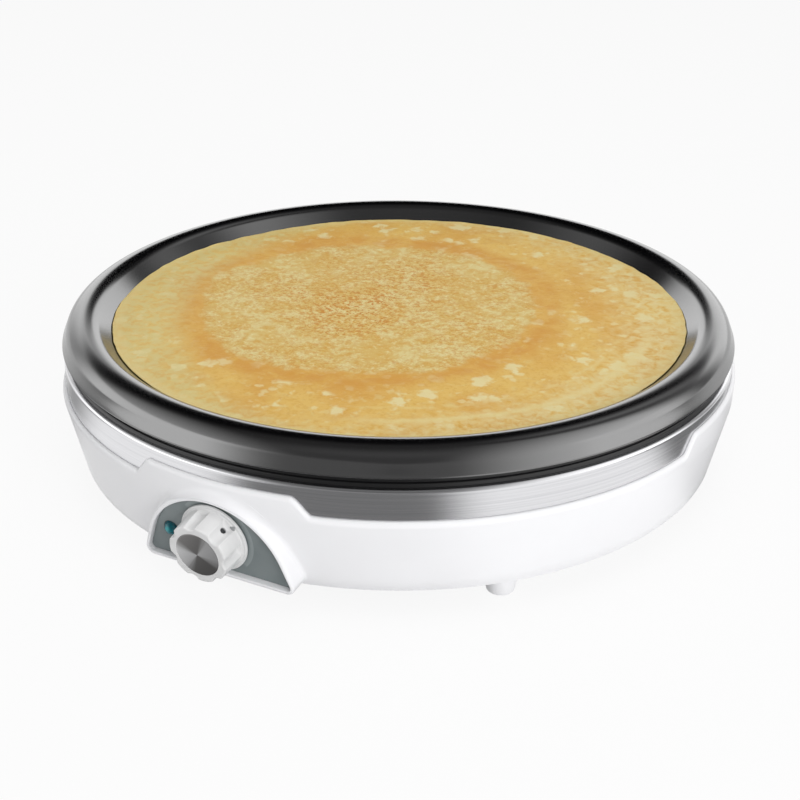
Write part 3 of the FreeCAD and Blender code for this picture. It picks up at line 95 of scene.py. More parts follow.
# Middle and half angle, in degrees, of each stretch of lip that stands higher
RAISED_LIPS = ((-90.0, 12.0), (8.0, 17.6), (-188.0, 17.6))

# The control's frame: x across, y up the panel, z out of its front
TILT = Matrix.Rotation(math.pi / 2 + PANEL_TILT, 4, "X")
CONTROL = Matrix.Translation(AXIS + Vector((0, -PANEL_Y, PANEL_Z)) * MM) @ TILT
KNOB_PLACE = CONTROL @ Matrix.Translation(Vector((0, KNOB_V, 0)) * MM)


def srgb(red, green, blue):
    """Linear colour of an 8-bit display colour."""
    values = [c / 255 for c in (red, green, blue)]
    return tuple(c / 12.92 if c <= 0.04045 else ((c + 0.055) / 1.055) ** 2.4 for c in values) + (1.0,)


# Outlines and meshes

# Points closer than this, in metres, become one; edges that turn more than this stay sharp
WELD = 1e-7
SHARP = math.radians(50)


def rounded(corners, steps=6, hold=0.12):
    """Closed outline through (x, y, radius) corners, each rounded, with points that keep its flats flat."""
    count = len(corners)
    places = [np.array(c[:2], float) for c in corners]
    cuts, halves = [], []
    for i in range(count):
        u = places[i - 1] - places[i]
        w = places[(i + 1) % count] - places[i]
        cosine = np.dot(u, w) / np.linalg.norm(u) / np.linalg.norm(w)
        half = math.acos(max(-1.0, min(1.0, cosine))) / 2
        halves.append(half)
        cuts.append(corners[i][2] / math.tan(half) if corners[i][2] else 0.0)
    outline = []
    for i in range(count):
        p, r = places[i], corners[i][2]
        before, after = places[i - 1], places[(i + 1) % count]
        u = (before - p) / np.linalg.norm(before - p)
        w = (after - p) / np.linalg.norm(after - p)
        room_before = np.linalg.norm(before - p) - cuts[i] - cuts[i - 1]
        room_after = np.linalg.norm(after - p) - cuts[i] - cuts[(i + 1) % count]
        if room_before > 3 * hold:
            outline.append(p + u * (cuts[i] + hold))
        if r:
            centre = p + (u + w) / np.linalg.norm(u + w) * r / math.sin(halves[i])
            start, end = p + u * cuts[i] - centre, p + w * cuts[i] - centre
            a0 = math.atan2(start[1], start[0])
            turn = (math.atan2(end[1], end[0]) - a0 + math.pi) % (2 * math.pi) - math.pi
            for k in range(steps + 1):
                a = a0 + turn * k / steps
                outline.append(centre + r * np.array([math.cos(a), math.sin(a)]))
        else:
            outline.append(p)
        if room_after > 3 * hold:
            outline.append(p + w * (cuts[i] + hold))
    return outline


def arc(x, y, radius, start, end, steps):
    """Points on an arc between two angles in degrees."""
    angles = np.radians(np.linspace(start, end, steps + 1))
    return [np.array([x + radius * math.cos(a), y + radius * math.sin(a)]) for a in angles]


def grid_piece(name, points, place=None):
    """Mesh from a grid of points in millimetres, closed round both of its indices."""
    points = np.asarray(points, float)
    around, along = points.shape[:2]
    index = np.arange(around * along).reshape(around, along)
    i, j = np.meshgrid(np.arange(around), np.arange(along), indexing="ij")
    i2, j2 = (i + 1) % around, (j + 1) % along
    faces = np.stack([index[i, j], index[i2, j], index[i2, j2], index[i, j2]], axis=-1).reshape(-1, 4)
    u = np.stack([i, i + 1, i + 1, i], axis=-1).reshape(-1, 4) / around
    v = np.stack([j, j, j + 1, j + 1], axis=-1).reshape(-1, 4) / along
    mesh = bpy.data.meshes.new(name)
    mesh.from_pydata((points.reshape(-1, 3) * MM).tolist(), [], faces.tolist())
    layer = mesh.uv_layers.new(name="around")
    layer.data.foreach_set("uv", np.stack([u, v], axis=-1).astype(np.float32).ravel())
    work = bmesh.new()
    work.from_mesh(mesh)
    bmesh.ops.remove_doubles(work, verts=work.verts, dist=WELD)
    bmesh.ops.recalc_face_normals(work, faces=work.faces)
    work.to_mesh(mesh)
    work.free()
    mesh.shade_smooth()
    mesh.set_sharp_from_angle(angle=SHARP)
    piece = bpy.data.objects.new(name, mesh)
    bpy.context.scene.collection.objects.link(piece)
    piece.matrix_world = place if place is not None else Matrix.Translation(AXIS)
    return piece


def lathe(name, profile, count, place=None):
    """Closed profile of (radius, height) turned about the piece's own Z axis."""
    angles = np.linspace(0, 2 * np.pi, count, endpoint=False)
    profile = np.array(profile, float)
    points = np.empty((count, len(profile), 3))
    points[..., 0] = np.cos(angles)[:, None] * profile[:, 0]
    points[..., 1] = np.sin(angles)[:, None] * profile[:, 0]
    points[..., 2] = profile[:, 1]
    return grid_piece(name, points, place)


def built(piece, body, slot, material, *nodes):
    """Give a piece its body, finish and the CAD nodes it stands for."""
    piece.data.materials.append(material)
    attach(piece, body)
    if nodes:
        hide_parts(*nodes)
    return piece


# Shader building

# Sockets of Blender's mix node where it mixes colours
MIX_FACTOR, MIX_FIRST, MIX_SECOND = 0, 6, 7
MIX_COLOUR = 2


class Field:
    """A number or colour that varies over a surface, with arithmetic that adds math nodes."""

    def __init__(self, tree, socket):
        self.tree = tree
        self.socket = socket

    def math(self, operation, *others):
        """A new field from this one and others, by one of Blender's math operations."""
        node = self.tree.nodes.new("ShaderNodeMath")
        node.operation = operation
        for slot, value in enumerate((self,) + others):
            put(self.tree, node.inputs[slot], value)
        return Field(self.tree, node.outputs[0])

    def __add__(self, other):
        return self.math("ADD", other)

    def __sub__(self, other):
        return self.math("SUBTRACT", other)

    def __mul__(self, other):
        return self.math("MULTIPLY", other)

    def step(self, low, high):
        """Smooth 0 to 1 as the value goes from low to high, or 1 to 0 where low is the greater."""
        node = self.tree.nodes.new("ShaderNodeMapRange")
        node.interpolation_type = "SMOOTHSTEP"
        node.clamp = True
        put(self.tree, node.inputs["Value"], self)
        first, last, start, end = (low, high, 0.0, 1.0) if low < high else (high, low, 1.0, 0.0)
        for key, value in (("From Min", first), ("From Max", last), ("To Min", start), ("To Max", end)):
            node.inputs[key].default_value = value
        return Field(self.tree, node.outputs["Result"])

    def hump(self, centre, width):
        """1 at the centre, falling smoothly to 0 at a width to either side."""
        return (self - centre).math("ABSOLUTE").step(width, 0.0)


def put(tree, socket, value):
    """Link a field to a socket, or set a constant on it."""
    if isinstance(value, Field):
        tree.links.new(value.socket, socket)
    else:
        socket.default_value = value


class Finish:
    """A material with one principled shader, and the fields that its detail is made of."""

    def __init__(self, name, colour, roughness, **sockets):
        self.material = bpy.data.materials.new(name)
        self.material.use_nodes = True
        self.tree = self.material.node_tree
        self.shader = self.tree.nodes["Principled BSDF"]
        self.shader.inputs["Base Color"].default_value = colour
        self.shader.inputs["Roughness"].default_value = roughness
        for key, value in sockets.items():
            self.shader.inputs[key.replace("_", " ")].default_value = value
        self.coords = self.tree.nodes.new("ShaderNodeTexCoord")

    def axis(self, letter):
        """One object coordinate, in millimetres."""
        split = self.tree.nodes.new("ShaderNodeSeparateXYZ")
        self.tree.links.new(self.coords.outputs["Object"], split.inputs[0])
        return Field(self.tree, split.outputs[letter]) * (1 / MM)

    def distance(self, x=0.0, y=0.0):
        """Distance in millimetres from a point in the piece's own XY plane."""
        dx = self.axis("X") - x
        dy = self.axis("Y") - y
        return (dx * dx + dy * dy).math("SQRT")

    def angle(self, x=0.0, y=0.0):
        """Angle in degrees from +X about a point in the piece's own XY plane."""
        return (self.axis("Y") - y).math("ARCTAN2", self.axis("X") - x) * (180 / math.pi)

    def vector(self, x, y, z):
        """Vector socket of three numbers or fields."""
        node = self.tree.nodes.new("ShaderNodeCombineXYZ")
        for slot, value in enumerate((x, y, z)):
            put(self.tree, node.inputs[slot], value)
        return node.outputs[0]

    def noise(self, size, detail=2.0, rough=0.5, stretch=(1, 1, 1), offset=0.0, warp=0.0, vector=None):
        """Noise with features of about the given size in millimetres."""
        node = self.tree.nodes.new("ShaderNodeTexNoise")
        node.inputs["Scale"].default_value = 1.0
        node.inputs["Detail"].default_value = detail
        node.inputs["Roughness"].default_value = rough
        node.inputs["Distortion"].default_value = warp
        if vector is None:
            mapping = self.tree.nodes.new("ShaderNodeMapping")
            mapping.inputs["Scale"].default_value = [1 / MM / size / s for s in stretch]
            mapping.inputs["Location"].default_value = (offset, offset * 0.7, offset * 0.3)
            self.tree.links.new(self.coords.outputs["Object"], mapping.inputs["Vector"])
            vector = mapping.outputs[0]
        self.tree.links.new(vector, node.inputs["Vector"])
        return Field(self.tree, node.outputs["Fac"])

    def cells(self, size, offset=0.0, ragged=0.0):
        """Distance to the nearest of scattered points, in cells of the given size, with ragged outlines."""
        node = self.tree.nodes.new("ShaderNodeTexVoronoi")
        node.inputs["Scale"].default_value = 1.0
        rough_x = self.noise(size * 0.55, 3.0, 0.6, offset=offset + 20.0) - 0.5
        rough_y = self.noise(size * 0.55, 3.0, 0.6, offset=offset + 40.0) - 0.5
        x = self.axis("X") * (1.0 / size) + rough_x * ragged + offset
        y = self.axis("Y") * (1.0 / size) + rough_y * ragged + offset * 0.6
        self.tree.links.new(self.vector(x, y, 0.0), node.inputs["Vector"])
        return Field(self.tree, node.outputs["Distance"])

    def blend(self, factor, first, second):
        """Colour between two, by a factor from 0 to 1."""
        node = self.tree.nodes.new("ShaderNodeMix")
        node.data_type = "RGBA"
        put(self.tree, node.inputs[MIX_FACTOR], factor)
        put(self.tree, node.inputs[MIX_FIRST], first)
        put(self.tree, node.inputs[MIX_SECOND], second)
        return Field(self.tree, node.outputs[MIX_COLOUR])

    def set(self, key, value):
        """Link or set an input of the shader."""
        put(self.tree, self.shader.inputs[key], value)

    def bump(self, height, depth):
        """Height field in units of depth, in millimetres."""
        node = self.tree.nodes.new("ShaderNodeBump")
        node.inputs["Distance"].default_value = depth * MM
        self.tree.links.new(height.socket, node.inputs["Height"])
        self.tree.links.new(node.outputs[0], self.shader.inputs["Normal"])

    def round_tangent(self):
        """Brushing that runs round the piece's own Z axis."""
        node = self.tree.nodes.new("ShaderNodeTangent")
        node.direction_type = "RADIAL"
        node.axis = "Z"
        self.tree.links.new(node.outputs[0], self.shader.inputs["Tangent"])


def plain(name, colour, roughness, grain=0.6, depth=0.01, vary=0.1, **sockets):
    """Finish with fine grain in its surface and slow changes of colour and gloss."""
    finish = Finish(name, colour, roughness, **sockets)
    slow = finish.noise(14.0, 3.0)
    darker = tuple(c * (1 - vary) for c in colour[:3]) + (1.0,)
    finish.set("Base Color", finish.blend(slow.step(0.3, 0.7), darker, colour))
    fine = finish.noise(grain, 2.0)
    finish.set("Roughness", fine * 0.1 + (roughness - 0.05))
    finish.bump(fine, depth)
    return finish.material


def nonstick():
    """Black coating with faint pale flecks, glossy enough to mirror the room."""
    finish = Finish("nonstick_casting", srgb(6, 6, 7), 0.17, IOR=2.8)
    fleck = finish.noise(0.55, 2.0)
    slow = finish.noise(30.0, 2.0, offset=3.0)
    finish.set("Base Color", finish.blend(fleck.step(0.62, 0.74), srgb(4, 4, 5), srgb(16, 16, 18)))
    finish.set("Roughness", slow * 0.04 + 0.15)
    finish.bump(fleck, 0.002)
    return finish.material


def brushed_band():
    """Steel brushed round the band, in fine lines over broader ones."""
    finish = Finish("brushed_steel_band", srgb(226, 226, 228), 0.2, Metallic=1.0, Anisotropic=0.5)
    lines = finish.noise(0.1, 3.0, 0.6, stretch=(1400, 1400, 1))
    broad = finish.noise(0.5, 2.0, stretch=(260, 260, 1), offset=5.0)
    mixed = lines * 0.6 + broad * 0.4
    finish.set("Base Color", finish.blend(mixed.step(0.3, 0.7), srgb(214, 214, 217), srgb(236, 236, 238)))
    finish.set("Roughness", mixed * 0.12 + 0.14)
    finish.bump(mixed, 0.003)
    finish.round_tangent()
    return finish.material


def white_shell(name, tone):
    """White plastic with a fine texture and slow, slight changes of tone."""
    finish = Finish(name, tone, 0.3, IOR=1.5)
    texture = finish.noise(0.7, 3.0)
    slow = finish.noise(45.0, 2.0, offset=2.0)
    shade = tuple(c * 0.985 for c in tone[:3]) + (1.0,)
    finish.set("Base Color", finish.blend(slow.step(0.35, 0.65), shade, tone))
    finish.set("Roughness", texture * 0.08 + 0.27)
    finish.bump(texture, 0.008)
    return finish.material


def panel_finish():
    """Grey panel, in the control's frame, with a printed scale round the knob and a ring round the lamp."""
    scale_r, scale_half_width = 20.9, 2.2
    scale_middle, scale_half_span = 42.0, 97.0
    ground, light_ground = srgb(118, 127, 128), srgb(128, 136, 137)
    print_tone, ring_tone = srgb(158, 166, 167), srgb(46, 56, 58)
    finish = Finish("grey_panel_print", srgb(122, 130, 131), 0.42)
    strip = finish.distance(0, KNOB_V).hump(scale_r, scale_half_width).step(0.15, 0.3)
    clockwise_from_top = finish.angle(0, KNOB_V) * -1.0 + 90.0
    span = clockwise_from_top.hump(scale_middle, scale_half_span).step(0.0, 0.02)
    grain = finish.noise(0.5, 3.0)
    slow = finish.noise(20.0, 2.0)
    base = finish.blend(slow.step(0.3, 0.7), ground, light_ground)
    base = finish.blend(strip * span * 0.55, base, print_tone)
    lamp = finish.distance(LAMP_X, LAMP_V)
    base = finish.blend(lamp.step(LENS_R + 0.55, LENS_R + 0.25), base, ring_tone)
    finish.set("Base Color", base)
    finish.set("Roughness", grain * 0.12 + 0.36)
    finish.bump(grain, 0.012)
    return finish.material


def knob_finish():
    """White plastic, set a little darker than the shell's as painted shade, with painted shade in the
    pointer's dimple.
    """
    # The white is darker than the shell's as painted shade, and the dark grey is painted shade for the dimple
    tone, shade, dimple_shade_tone = srgb(222, 222, 222), srgb(217, 217, 217), srgb(70, 72, 74)
    finish = Finish("knob_white", tone, 0.32, IOR=1.5)
    a = math.radians(90 - KNOB_ANGLE)
    along = finish.axis("X") * math.cos(a) + finish.axis("Y") * math.sin(a)
    across = finish.axis("X") * -math.sin(a) + finish.axis("Y") * math.cos(a)
    up = finish.axis("Z") - DIMPLE_Z
    to_hole = (across * across + up * up).math("SQRT")
    # Painted shade in the pointer's dimple
    hole = to_hole.step(DIMPLE_R, DIMPLE_R - 0.4) * along.step(12.0, 13.0)
    texture = finish.noise(0.6, 3.0)
    slow = finish.noise(12.0, 2.0)
    base = finish.blend(slow.step(0.35, 0.65), shade, tone)
    finish.set("Base Color", finish.blend(hole, base, dimple_shade_tone))
    finish.set("Roughness", texture * 0.1 + 0.27)
    finish.bump(texture, 0.006)
    return finish.material


def spun_cap():
    """Spun metal with fine rings, and a painted highlight: the two opposite fans of light that fine rings
    throw, painted into its colour.
    """
    # Dull tone of the metal, bright tone of its painted highlight, and the darker tone of the rings' grooves
    dull, bright, groove = srgb(150, 148, 147), srgb(250, 250, 251), srgb(100, 100, 102)
    finish = Finish("spun_aluminium_cap", srgb(150, 150, 152), 0.34, Metallic=1.0)
    radius = finish.distance()
    turn = finish.angle()
    rings = finish.noise(1.0, 4.0, 0.7, vector=finish.vector(radius * 5.0, 0.0, 0.0))
    streaks = finish.noise(1.0, 3.0, 0.6, vector=finish.vector(turn * 0.07, 3.0, 0.0))
    # Painted highlight: two opposite fans, blended from the dull tone to the bright one and broken up by
    # streaks
    highlight_fan = ((turn - HIGHLIGHT_FAN_ANGLE) * (math.pi / 90)).math("COSINE") * 0.5 + 0.5
    light = (highlight_fan + streaks * 0.5 - 0.25).step(0.3, 0.95)
    tone = finish.blend(light, dull, bright)
    finish.set("Base Color", finish.blend(rings.step(0.35, 0.65) * 0.14, tone, groove))
    finish.set("Roughness", rings * 0.12 + 0.3)
    finish.bump(rings, 0.006)
    return finish.material


def lens_finish():
    """Teal plastic, darker at its edge, with a painted highlight: a lighter spot painted into its colour."""
    middle, edge = srgb(14, 122, 134), srgb(4, 84, 96)
    # The glow tone is the colour of the painted highlight
    ripple_tone, glow = srgb(20, 140, 150), srgb(64, 186, 190)
    finish = Finish("teal_lens_painted_highlight", srgb(8, 104, 116), 0.12, IOR=1.5, Transmission_Weight=0.15)
    ripple = finish.noise(1.2, 2.0)
    base = finish.blend(finish.distance().step(0.5, LENS_R), middle, edge)
    base = finish.blend(ripple.step(0.4, 0.7) * 0.4, base, ripple_tone)
    # Painted highlight: a lighter spot a little off the middle of the dome
    painted_highlight_spot = finish.distance(-0.3, 1.1).step(1.9, 0.4)
    finish.set("Base Color", finish.blend(painted_highlight_spot * 0.8, base, glow))
    finish.set("Roughness", ripple * 0.06 + 0.09)
    finish.bump(ripple, 0.01)
    return finish.material


def crepe_finish():
    """Cooked batter: a paler speckled disc in a browner ring, golden outside with pale bubbles and arcs."""
    disc_x, disc_y, disc_r = -24.0, 2.0, 104.0
    ring_r, ring_width = disc_r + 9.0, 17.0
    outer_arc_r, inner_arc_r = 149.0, 134.0
    gold, deep = srgb(223, 185, 99), srgb(215, 165, 77)
    pale, cream = srgb(220, 202, 137), srgb(227, 214, 161)
    brown, toast = srgb(204, 139, 47), srgb(186, 115, 31)
    soft_gold, amber, speck_tone = srgb(220, 177, 87), srgb(212, 161, 71), srgb(206, 152, 62)
    disc_gold, disc_amber, ring_tone = srgb(214, 180, 99), srgb(213, 167, 79), srgb(210, 152, 61)
    arc_tone, left_tone, right_tone = srgb(225, 205, 141), srgb(212, 197, 133), srgb(224, 208, 151)
    edge_tone = srgb(223, 202, 137)

    f = Finish("crepe_batter", srgb(217, 178, 95), 0.55, IOR=1.35)
    warp = f.noise(38.0, 3.0, offset=1.0) - 0.5
    warp_fine = f.noise(9.0, 3.0, offset=7.0) - 0.5
    from_disc = f.distance(disc_x, disc_y) + warp * 24.0 + warp_fine * 9.0
    from_axis = f.distance() + warp_fine * 6.0 + warp * 6.0
    patch = f.noise(46.0, 3.0, 0.55, offset=4.0)
    blotch = f.noise(15.0, 4.0, 0.62, offset=9.0, warp=0.8)
    mottle = f.noise(6.0, 4.0, 0.62, offset=2.0, warp=0.5)
    speck = f.noise(2.4, 3.0, 0.65, offset=5.0)
    fleck = f.noise(1.2, 2.0, 0.6, offset=6.0)

    outer = f.blend(patch.step(0.4, 0.62), gold, deep)
    outer = f.blend(blotch.step(0.5, 0.68) * 0.6, outer, soft_gold)
    outer = f.blend(mottle.step(0.54, 0.7) * 0.45, outer, amber)
    outer = f.blend(mottle.step(0.44, 0.32) * 0.4, outer, pale)
    outer = f.blend(speck.step(0.5, 0.66) * 0.4, outer, speck_tone)
    bubbles = f.cells(17.0, 3.0, 1.1).step(0.38, 0.2) * f.noise(32.0, 1.0, offset=11.0).step(0.4, 0.5)
    small = f.cells(9.0, 8.0, 0.7).step(0.36, 0.2) * blotch.step(0.56, 0.44)
    outer = f.blend((bubbles * 0.85 + small * 0.6).math("MINIMUM", 0.9), outer, cream)

    inner = f.blend(blotch.step(0.4, 0.6), disc_gold, pale)
    inner = f.blend(mottle.step(0.48, 0.62) * 0.7, inner, disc_amber)
    heat = f.distance(-20.0, 8.0).step(100.0, 20.0) * 0.55 + patch.step(0.35, 0.6) * 0.45
    inner = f.blend(speck.step(0.5, 0.6) * heat, inner, brown)
    inner = f.blend(fleck.step(0.56, 0.68) * heat, inner, toast)
    inner = f.blend(speck.step(0.44, 0.34) * 0.6, inner, cream)

    in_disc = from_disc.step(disc_r + 2.0, disc_r - 2.0)
    colour = f.blend(in_disc, outer, inner)
    ring = from_disc.hump(ring_r, ring_width) * (blotch.step(0.66, 0.4) * 0.7 + 0.3)
    colour = f.blend(ring * 0.9, colour, ring_tone)

    front_right = f.angle().hump(-28.0, 62.0).step(0.0, 0.5)
    outer_arc = from_axis.hump(outer_arc_r, 5.0) * front_right * mottle.step(0.32, 0.46)
    inner_arc = from_axis.hump(inner_arc_r, 3.0) * front_right * blotch.step(0.44, 0.58)
    colour = f.blend(outer_arc * 0.8 + inner_arc * 0.5, colour, arc_tone)

    left_edge = f.distance(60.0, 26.0).step(184.0, 210.0) * (mottle.step(0.62, 0.42) * 0.6 + 0.4)
    colour = f.blend(left_edge * 0.8, colour, left_tone)
    right_edge = f.distance(-30.0, -6.0).step(142.0, 188.0)
    colour = f.blend(right_edge * mottle.step(0.68, 0.38) * 0.75, colour, right_tone)

    whole_edge = (f.distance() + warp_fine * 4.0).step(162.0, 168.5)
    colour = f.blend(whole_edge * 0.6, colour, edge_tone)
    f.set("Base Color", colour)
    f.set("Roughness", mottle * 0.2 + 0.42)
    f.bump(mottle * 0.5 + speck * 0.35 + fleck * 0.15, 0.5)
    return f.material


# Cooking plate, ring, band

def plate_piece():
    """Flat plate with a rolled rim that is hollow underneath and ends in a rounded lower edge."""
    hollow_r, hollow_in, hollow_out = 8.2, 177.95, 194.35
    edge_r, edge_z, edge_round = 199.2, 81.6, 0.8
    side = [(199.93, 81.9), (199.86, 82.1), (199.2, 83.7), (198.5, 85.4)]
    side_lean, fillet_r = 19.4, 2.0
    profile = [(0.0, Z_PLATE), (169.0, Z_PLATE), (177.4, Z_PLATE)]
    profile += [(177.85, Z_PLATE + 0.4), (hollow_in, Z_RIM)]
    profile += arc(RIM_CENTRE_R, Z_RIM, hollow_r, 176, 4, 24)
    profile += [(hollow_out, Z_RIM), (hollow_out, Z_PLATE + 0.4), (194.9, Z_PLATE)]
    profile += arc(edge_r, edge_z, edge_round, -88, -4, 6)
    profile += side
    profile += arc(RIM_CENTRE_R, Z_RIM, RIM_R, side_lean, 90 + RIM_SLOPE, 72)
    slope_r, slope_z = profile[-1]
    foot_r = slope_r - (slope_z - Z_COOK) / math.tan(math.radians(RIM_SLOPE))
    flat_r = foot_r - fillet_r * math.tan(math.radians(RIM_SLOPE / 2))
    profile += arc(flat_r, Z_COOK + fillet_r, fillet_r, RIM_SLOPE - 90, -89, 10)
    profile += [(r, Z_COOK) for r in (flat_r - 0.3, 160.0, 120.0, 60.0, 0.0)]
    return lathe("cooking_plate_casting", profile, 512)


def ring_piece():
    """Insulating ring, stepped where it meets the rim's lower edge."""
    inner, outer, step_r, step = 189.5, 197.2, 195.8, 2.6
    profile = rounded([
        (inner, Z_DECK, 0.3), (outer, Z_DECK, 0.3), (outer, Z_DECK + step, 0.9),
        (step_r, Z_DECK + step, 0.4), (step_r, Z_PLATE, 0.2), (inner, Z_PLATE, 0.2),
    ], steps=5, hold=0.08)
    return lathe("insulating_ring_moulding", profile, 384)


def band_piece():
    """Pressed sheet band: an upright wall with a rounded shoulder, and a deck inwards from it."""
    deck_r, shoulder, end_round, edge_round = 184.0, 2.6, 0.2, 0.3
    seat = Z_LIP - BAND_SEAT
    inner, under = BAND_R - BAND_T, Z_DECK - BAND_T
    profile = rounded([
        (BAND_R, seat, end_round), (BAND_R, Z_DECK, shoulder),
        (deck_r, Z_DECK, edge_round), (deck_r, under, edge_round),
        (inner, under, shoulder - BAND_T), (inner, seat, end_round),
    ], steps=10)
    return lathe("trim_band_pressing", profile, 768)


def climb(radius):
    """How far the sheet's edge stands above the plate, where it runs up the foot of the rim."""
    return max(0.0, radius - CLIMB_START_R) * CLIMB_SLOPE


def crepe_piece():
    """Thin sheet with an uneven edge and a gently blistered top, lying on the plate."""
    around = 720
    rounding_r = 167.6
    radii = np.concatenate([[0.0], np.linspace(1.5, 150.0, 100), np.linspace(151.3, 166.9, 16)])
    edge = [
        (rounding_r, 0.97), (168.3, 0.9), (168.8, 0.78), (169.2, 0.62),
        (169.4, 0.4), (169.3, 0.18), (169.0, 0.04),
    ]
    underside = [(r, Z_COOK + 0.01) for r in (169.2, 110.0, 50.0, 0.0)]
    thick = CREPE_T - 0.3
    columns = []
    for j in range(around):
        a = 2 * math.pi * j / around
        c, s = math.cos(a), math.sin(a)
        lobe = Vector((c * 2.2, s * 2.2, 0.4))
        fine = Vector((c * 16.0, s * 16.0, 4.1))
        reach = 1.6 + 0.9 * noise.noise(lobe) + 0.45 * noise.noise(fine)
        column = []
        for r in radii:
            rr = r + reach * (r / rounding_r) ** 6
            p = Vector((rr * c, rr * s, 0.0))
            blister = 0.16 * noise.noise(p / 9.0) + 0.09 * noise.noise(p / 3.6 + Vector((7.0, 1.0, 2.0)))
            column.append((rr, Z_COOK + thick + blister + climb(rr)))
        for r, share in edge:
            column.append((r + reach, Z_COOK + thick * share + climb(r + reach)))
        columns.append([(r * c, r * s, z) for r, z in column + underside])
    return grid_piece("crepe_sheet_batter", columns)


# Base shell

def shell_outer_r(z):
    """Outer radius of the leaning wall at a height."""
    return SHELL_FOOT_R + (SHELL_R - SHELL_FOOT_R) * (z - Z_SHELL) / (Z_LIP - LIP_ROUND - Z_SHELL)


def lip_rise(angle):
    """How far the shell's lip stands above its ordinary height, at an angle in degrees."""
    farthest, start_below, softness, full = 80, 1.5, 0.35, 6
    best = 0.0
    for middle, half_angle in RAISED_LIPS:
        turn = (angle - middle + 180) % 360 - 180
        if abs(turn) > farthest:
            continue
        half = SHELL_R * math.sin(math.radians(half_angle))
        across = abs(SHELL_R * math.sin(math.radians(turn)))
        s = min(max((half + LIP_SLOPE - across) / LIP_SLOPE, 0.0), 1.0)
        curve = s * s * (3 - 2 * s)
        rise = LIP_RISE * curve - start_below
        soft = 0.5 * (rise + math.sqrt(rise * rise + softness)) if rise < full else rise
        best = max(best, soft if s > 0 else 0.0)
    return best


def shell_piece():
    """Base shell: a leaning wall whose lip rises in three places, a ledge for the band and a flange below."""
    around = 1440
    inner, foot_inner = BAND_R + BAND_GAP, SHELL_FOOT_R - SHELL_WALL
    seat, ledge_under = Z_LIP - BAND_SEAT, Z_LIP - BAND_SEAT - 3.0
    ledge_r, flange_r, flange_z, wall_z = 194.5, 172.0, 13.8, 16.4
    lip = arc(0.0, 0.0, 1.0, 0, 90, 10)
    below = [(foot_inner, Z_SHELL + 0.3), (foot_inner + 0.3, Z_SHELL)]
    below += arc(SHELL_FOOT_R - 1.0, Z_SHELL + 1.0, 1.0, -90, 0, 6)
    below += [(shell_outer_r(z), z) for z in (flange_z, 20.0, 35.0, 50.0, seat)]
    inside = [(inner, 54.0), (inner - 0.3, seat), (ledge_r, seat), (ledge_r, ledge_under)]
    inside += [(shell_outer_r(50.0) - SHELL_WALL, ledge_under)]
    inside += [(shell_outer_r(17.0) - SHELL_WALL, wall_z)]
    inside += [(flange_r, wall_z - 0.2), (flange_r, flange_z), (foot_inner, flange_z)]
    columns = []
    for j in range(around):
        degrees = 360.0 * j / around
        top = Z_LIP + lip_rise(degrees)
        start = top - LIP_ROUND
        rounding = [(inner + (SHELL_R - inner) * p[0], start + LIP_ROUND * p[1]) for p in lip]
        profile = below + rounding + [(inner, top - 0.2)] + inside
        a = math.radians(degrees)
        columns.append([(r * math.cos(a), r * math.sin(a), z) for r, z in profile])
    return grid_piece("base_shell_moulding", columns)


def arch_outline(inset, bottom_steps=24, side_steps=14, arc_steps=72):
    """Outline of the control's arch, set in from its outer edge, starting at the middle of its foot."""
    half = HOOD_HALF - inset * 1.15
    bottom = HOOD_BOTTOM + inset
    radius = HOOD_ARCH_R - inset
    corner = max(HOOD_CORNER - inset, 0.8)
    centre = HOOD_TOP - HOOD_ARCH_R
    reach = math.hypot(half, bottom - centre)
    lean = math.atan2(bottom - centre, half) + math.acos(radius / reach)
    side = np.array([radius * math.cos(lean), centre + radius * math.sin(lean)])
    foot = np.array([half, bottom])
    along = (side - foot) / np.linalg.norm(side - foot)
    turn = math.acos(float(np.dot(along, (-1.0, 0.0)))) / 2
    cut = corner / math.tan(turn)
    middle = np.array([half - cut, bottom + corner])
    end = foot + along * cut
    stop = math.degrees(math.atan2(end[1] - middle[1], end[0] - middle[0]))
    right = [np.array([(half - cut) * k / bottom_steps, bottom]) for k in range(bottom_steps)]
    right += arc(middle[0], middle[1], corner, -90, stop, 12)
    right += [end + (side - end) * k / side_steps for k in range(1, side_steps)]
    right += arc(0.0, centre, radius, math.degrees(lean), 90, arc_steps)[:-1]
    top = [np.array([0.0, centre + radius])]
    left = [np.array([-p[0], p[1]]) for p in reversed(right[1:])]
    return np.array(right + top + left)


def wall_depth(x, v):
    """How far behind the control's front plane the shell's wall lies, at a point of the control."""
    first_guess, rounds = -5.0, 30
    q = first_guess
    for _ in range(rounds):
        z = PANEL_Z + v * math.cos(PANEL_TILT) + q * -math.sin(PANEL_TILT)
        radius = min(shell_outer_r(max(z, Z_SHELL)), SHELL_R)
        y = -math.sqrt(radius * radius - x * x)
        q = (-PANEL_Y - v * math.sin(PANEL_TILT) - y) / math.cos(PANEL_TILT)
    return q


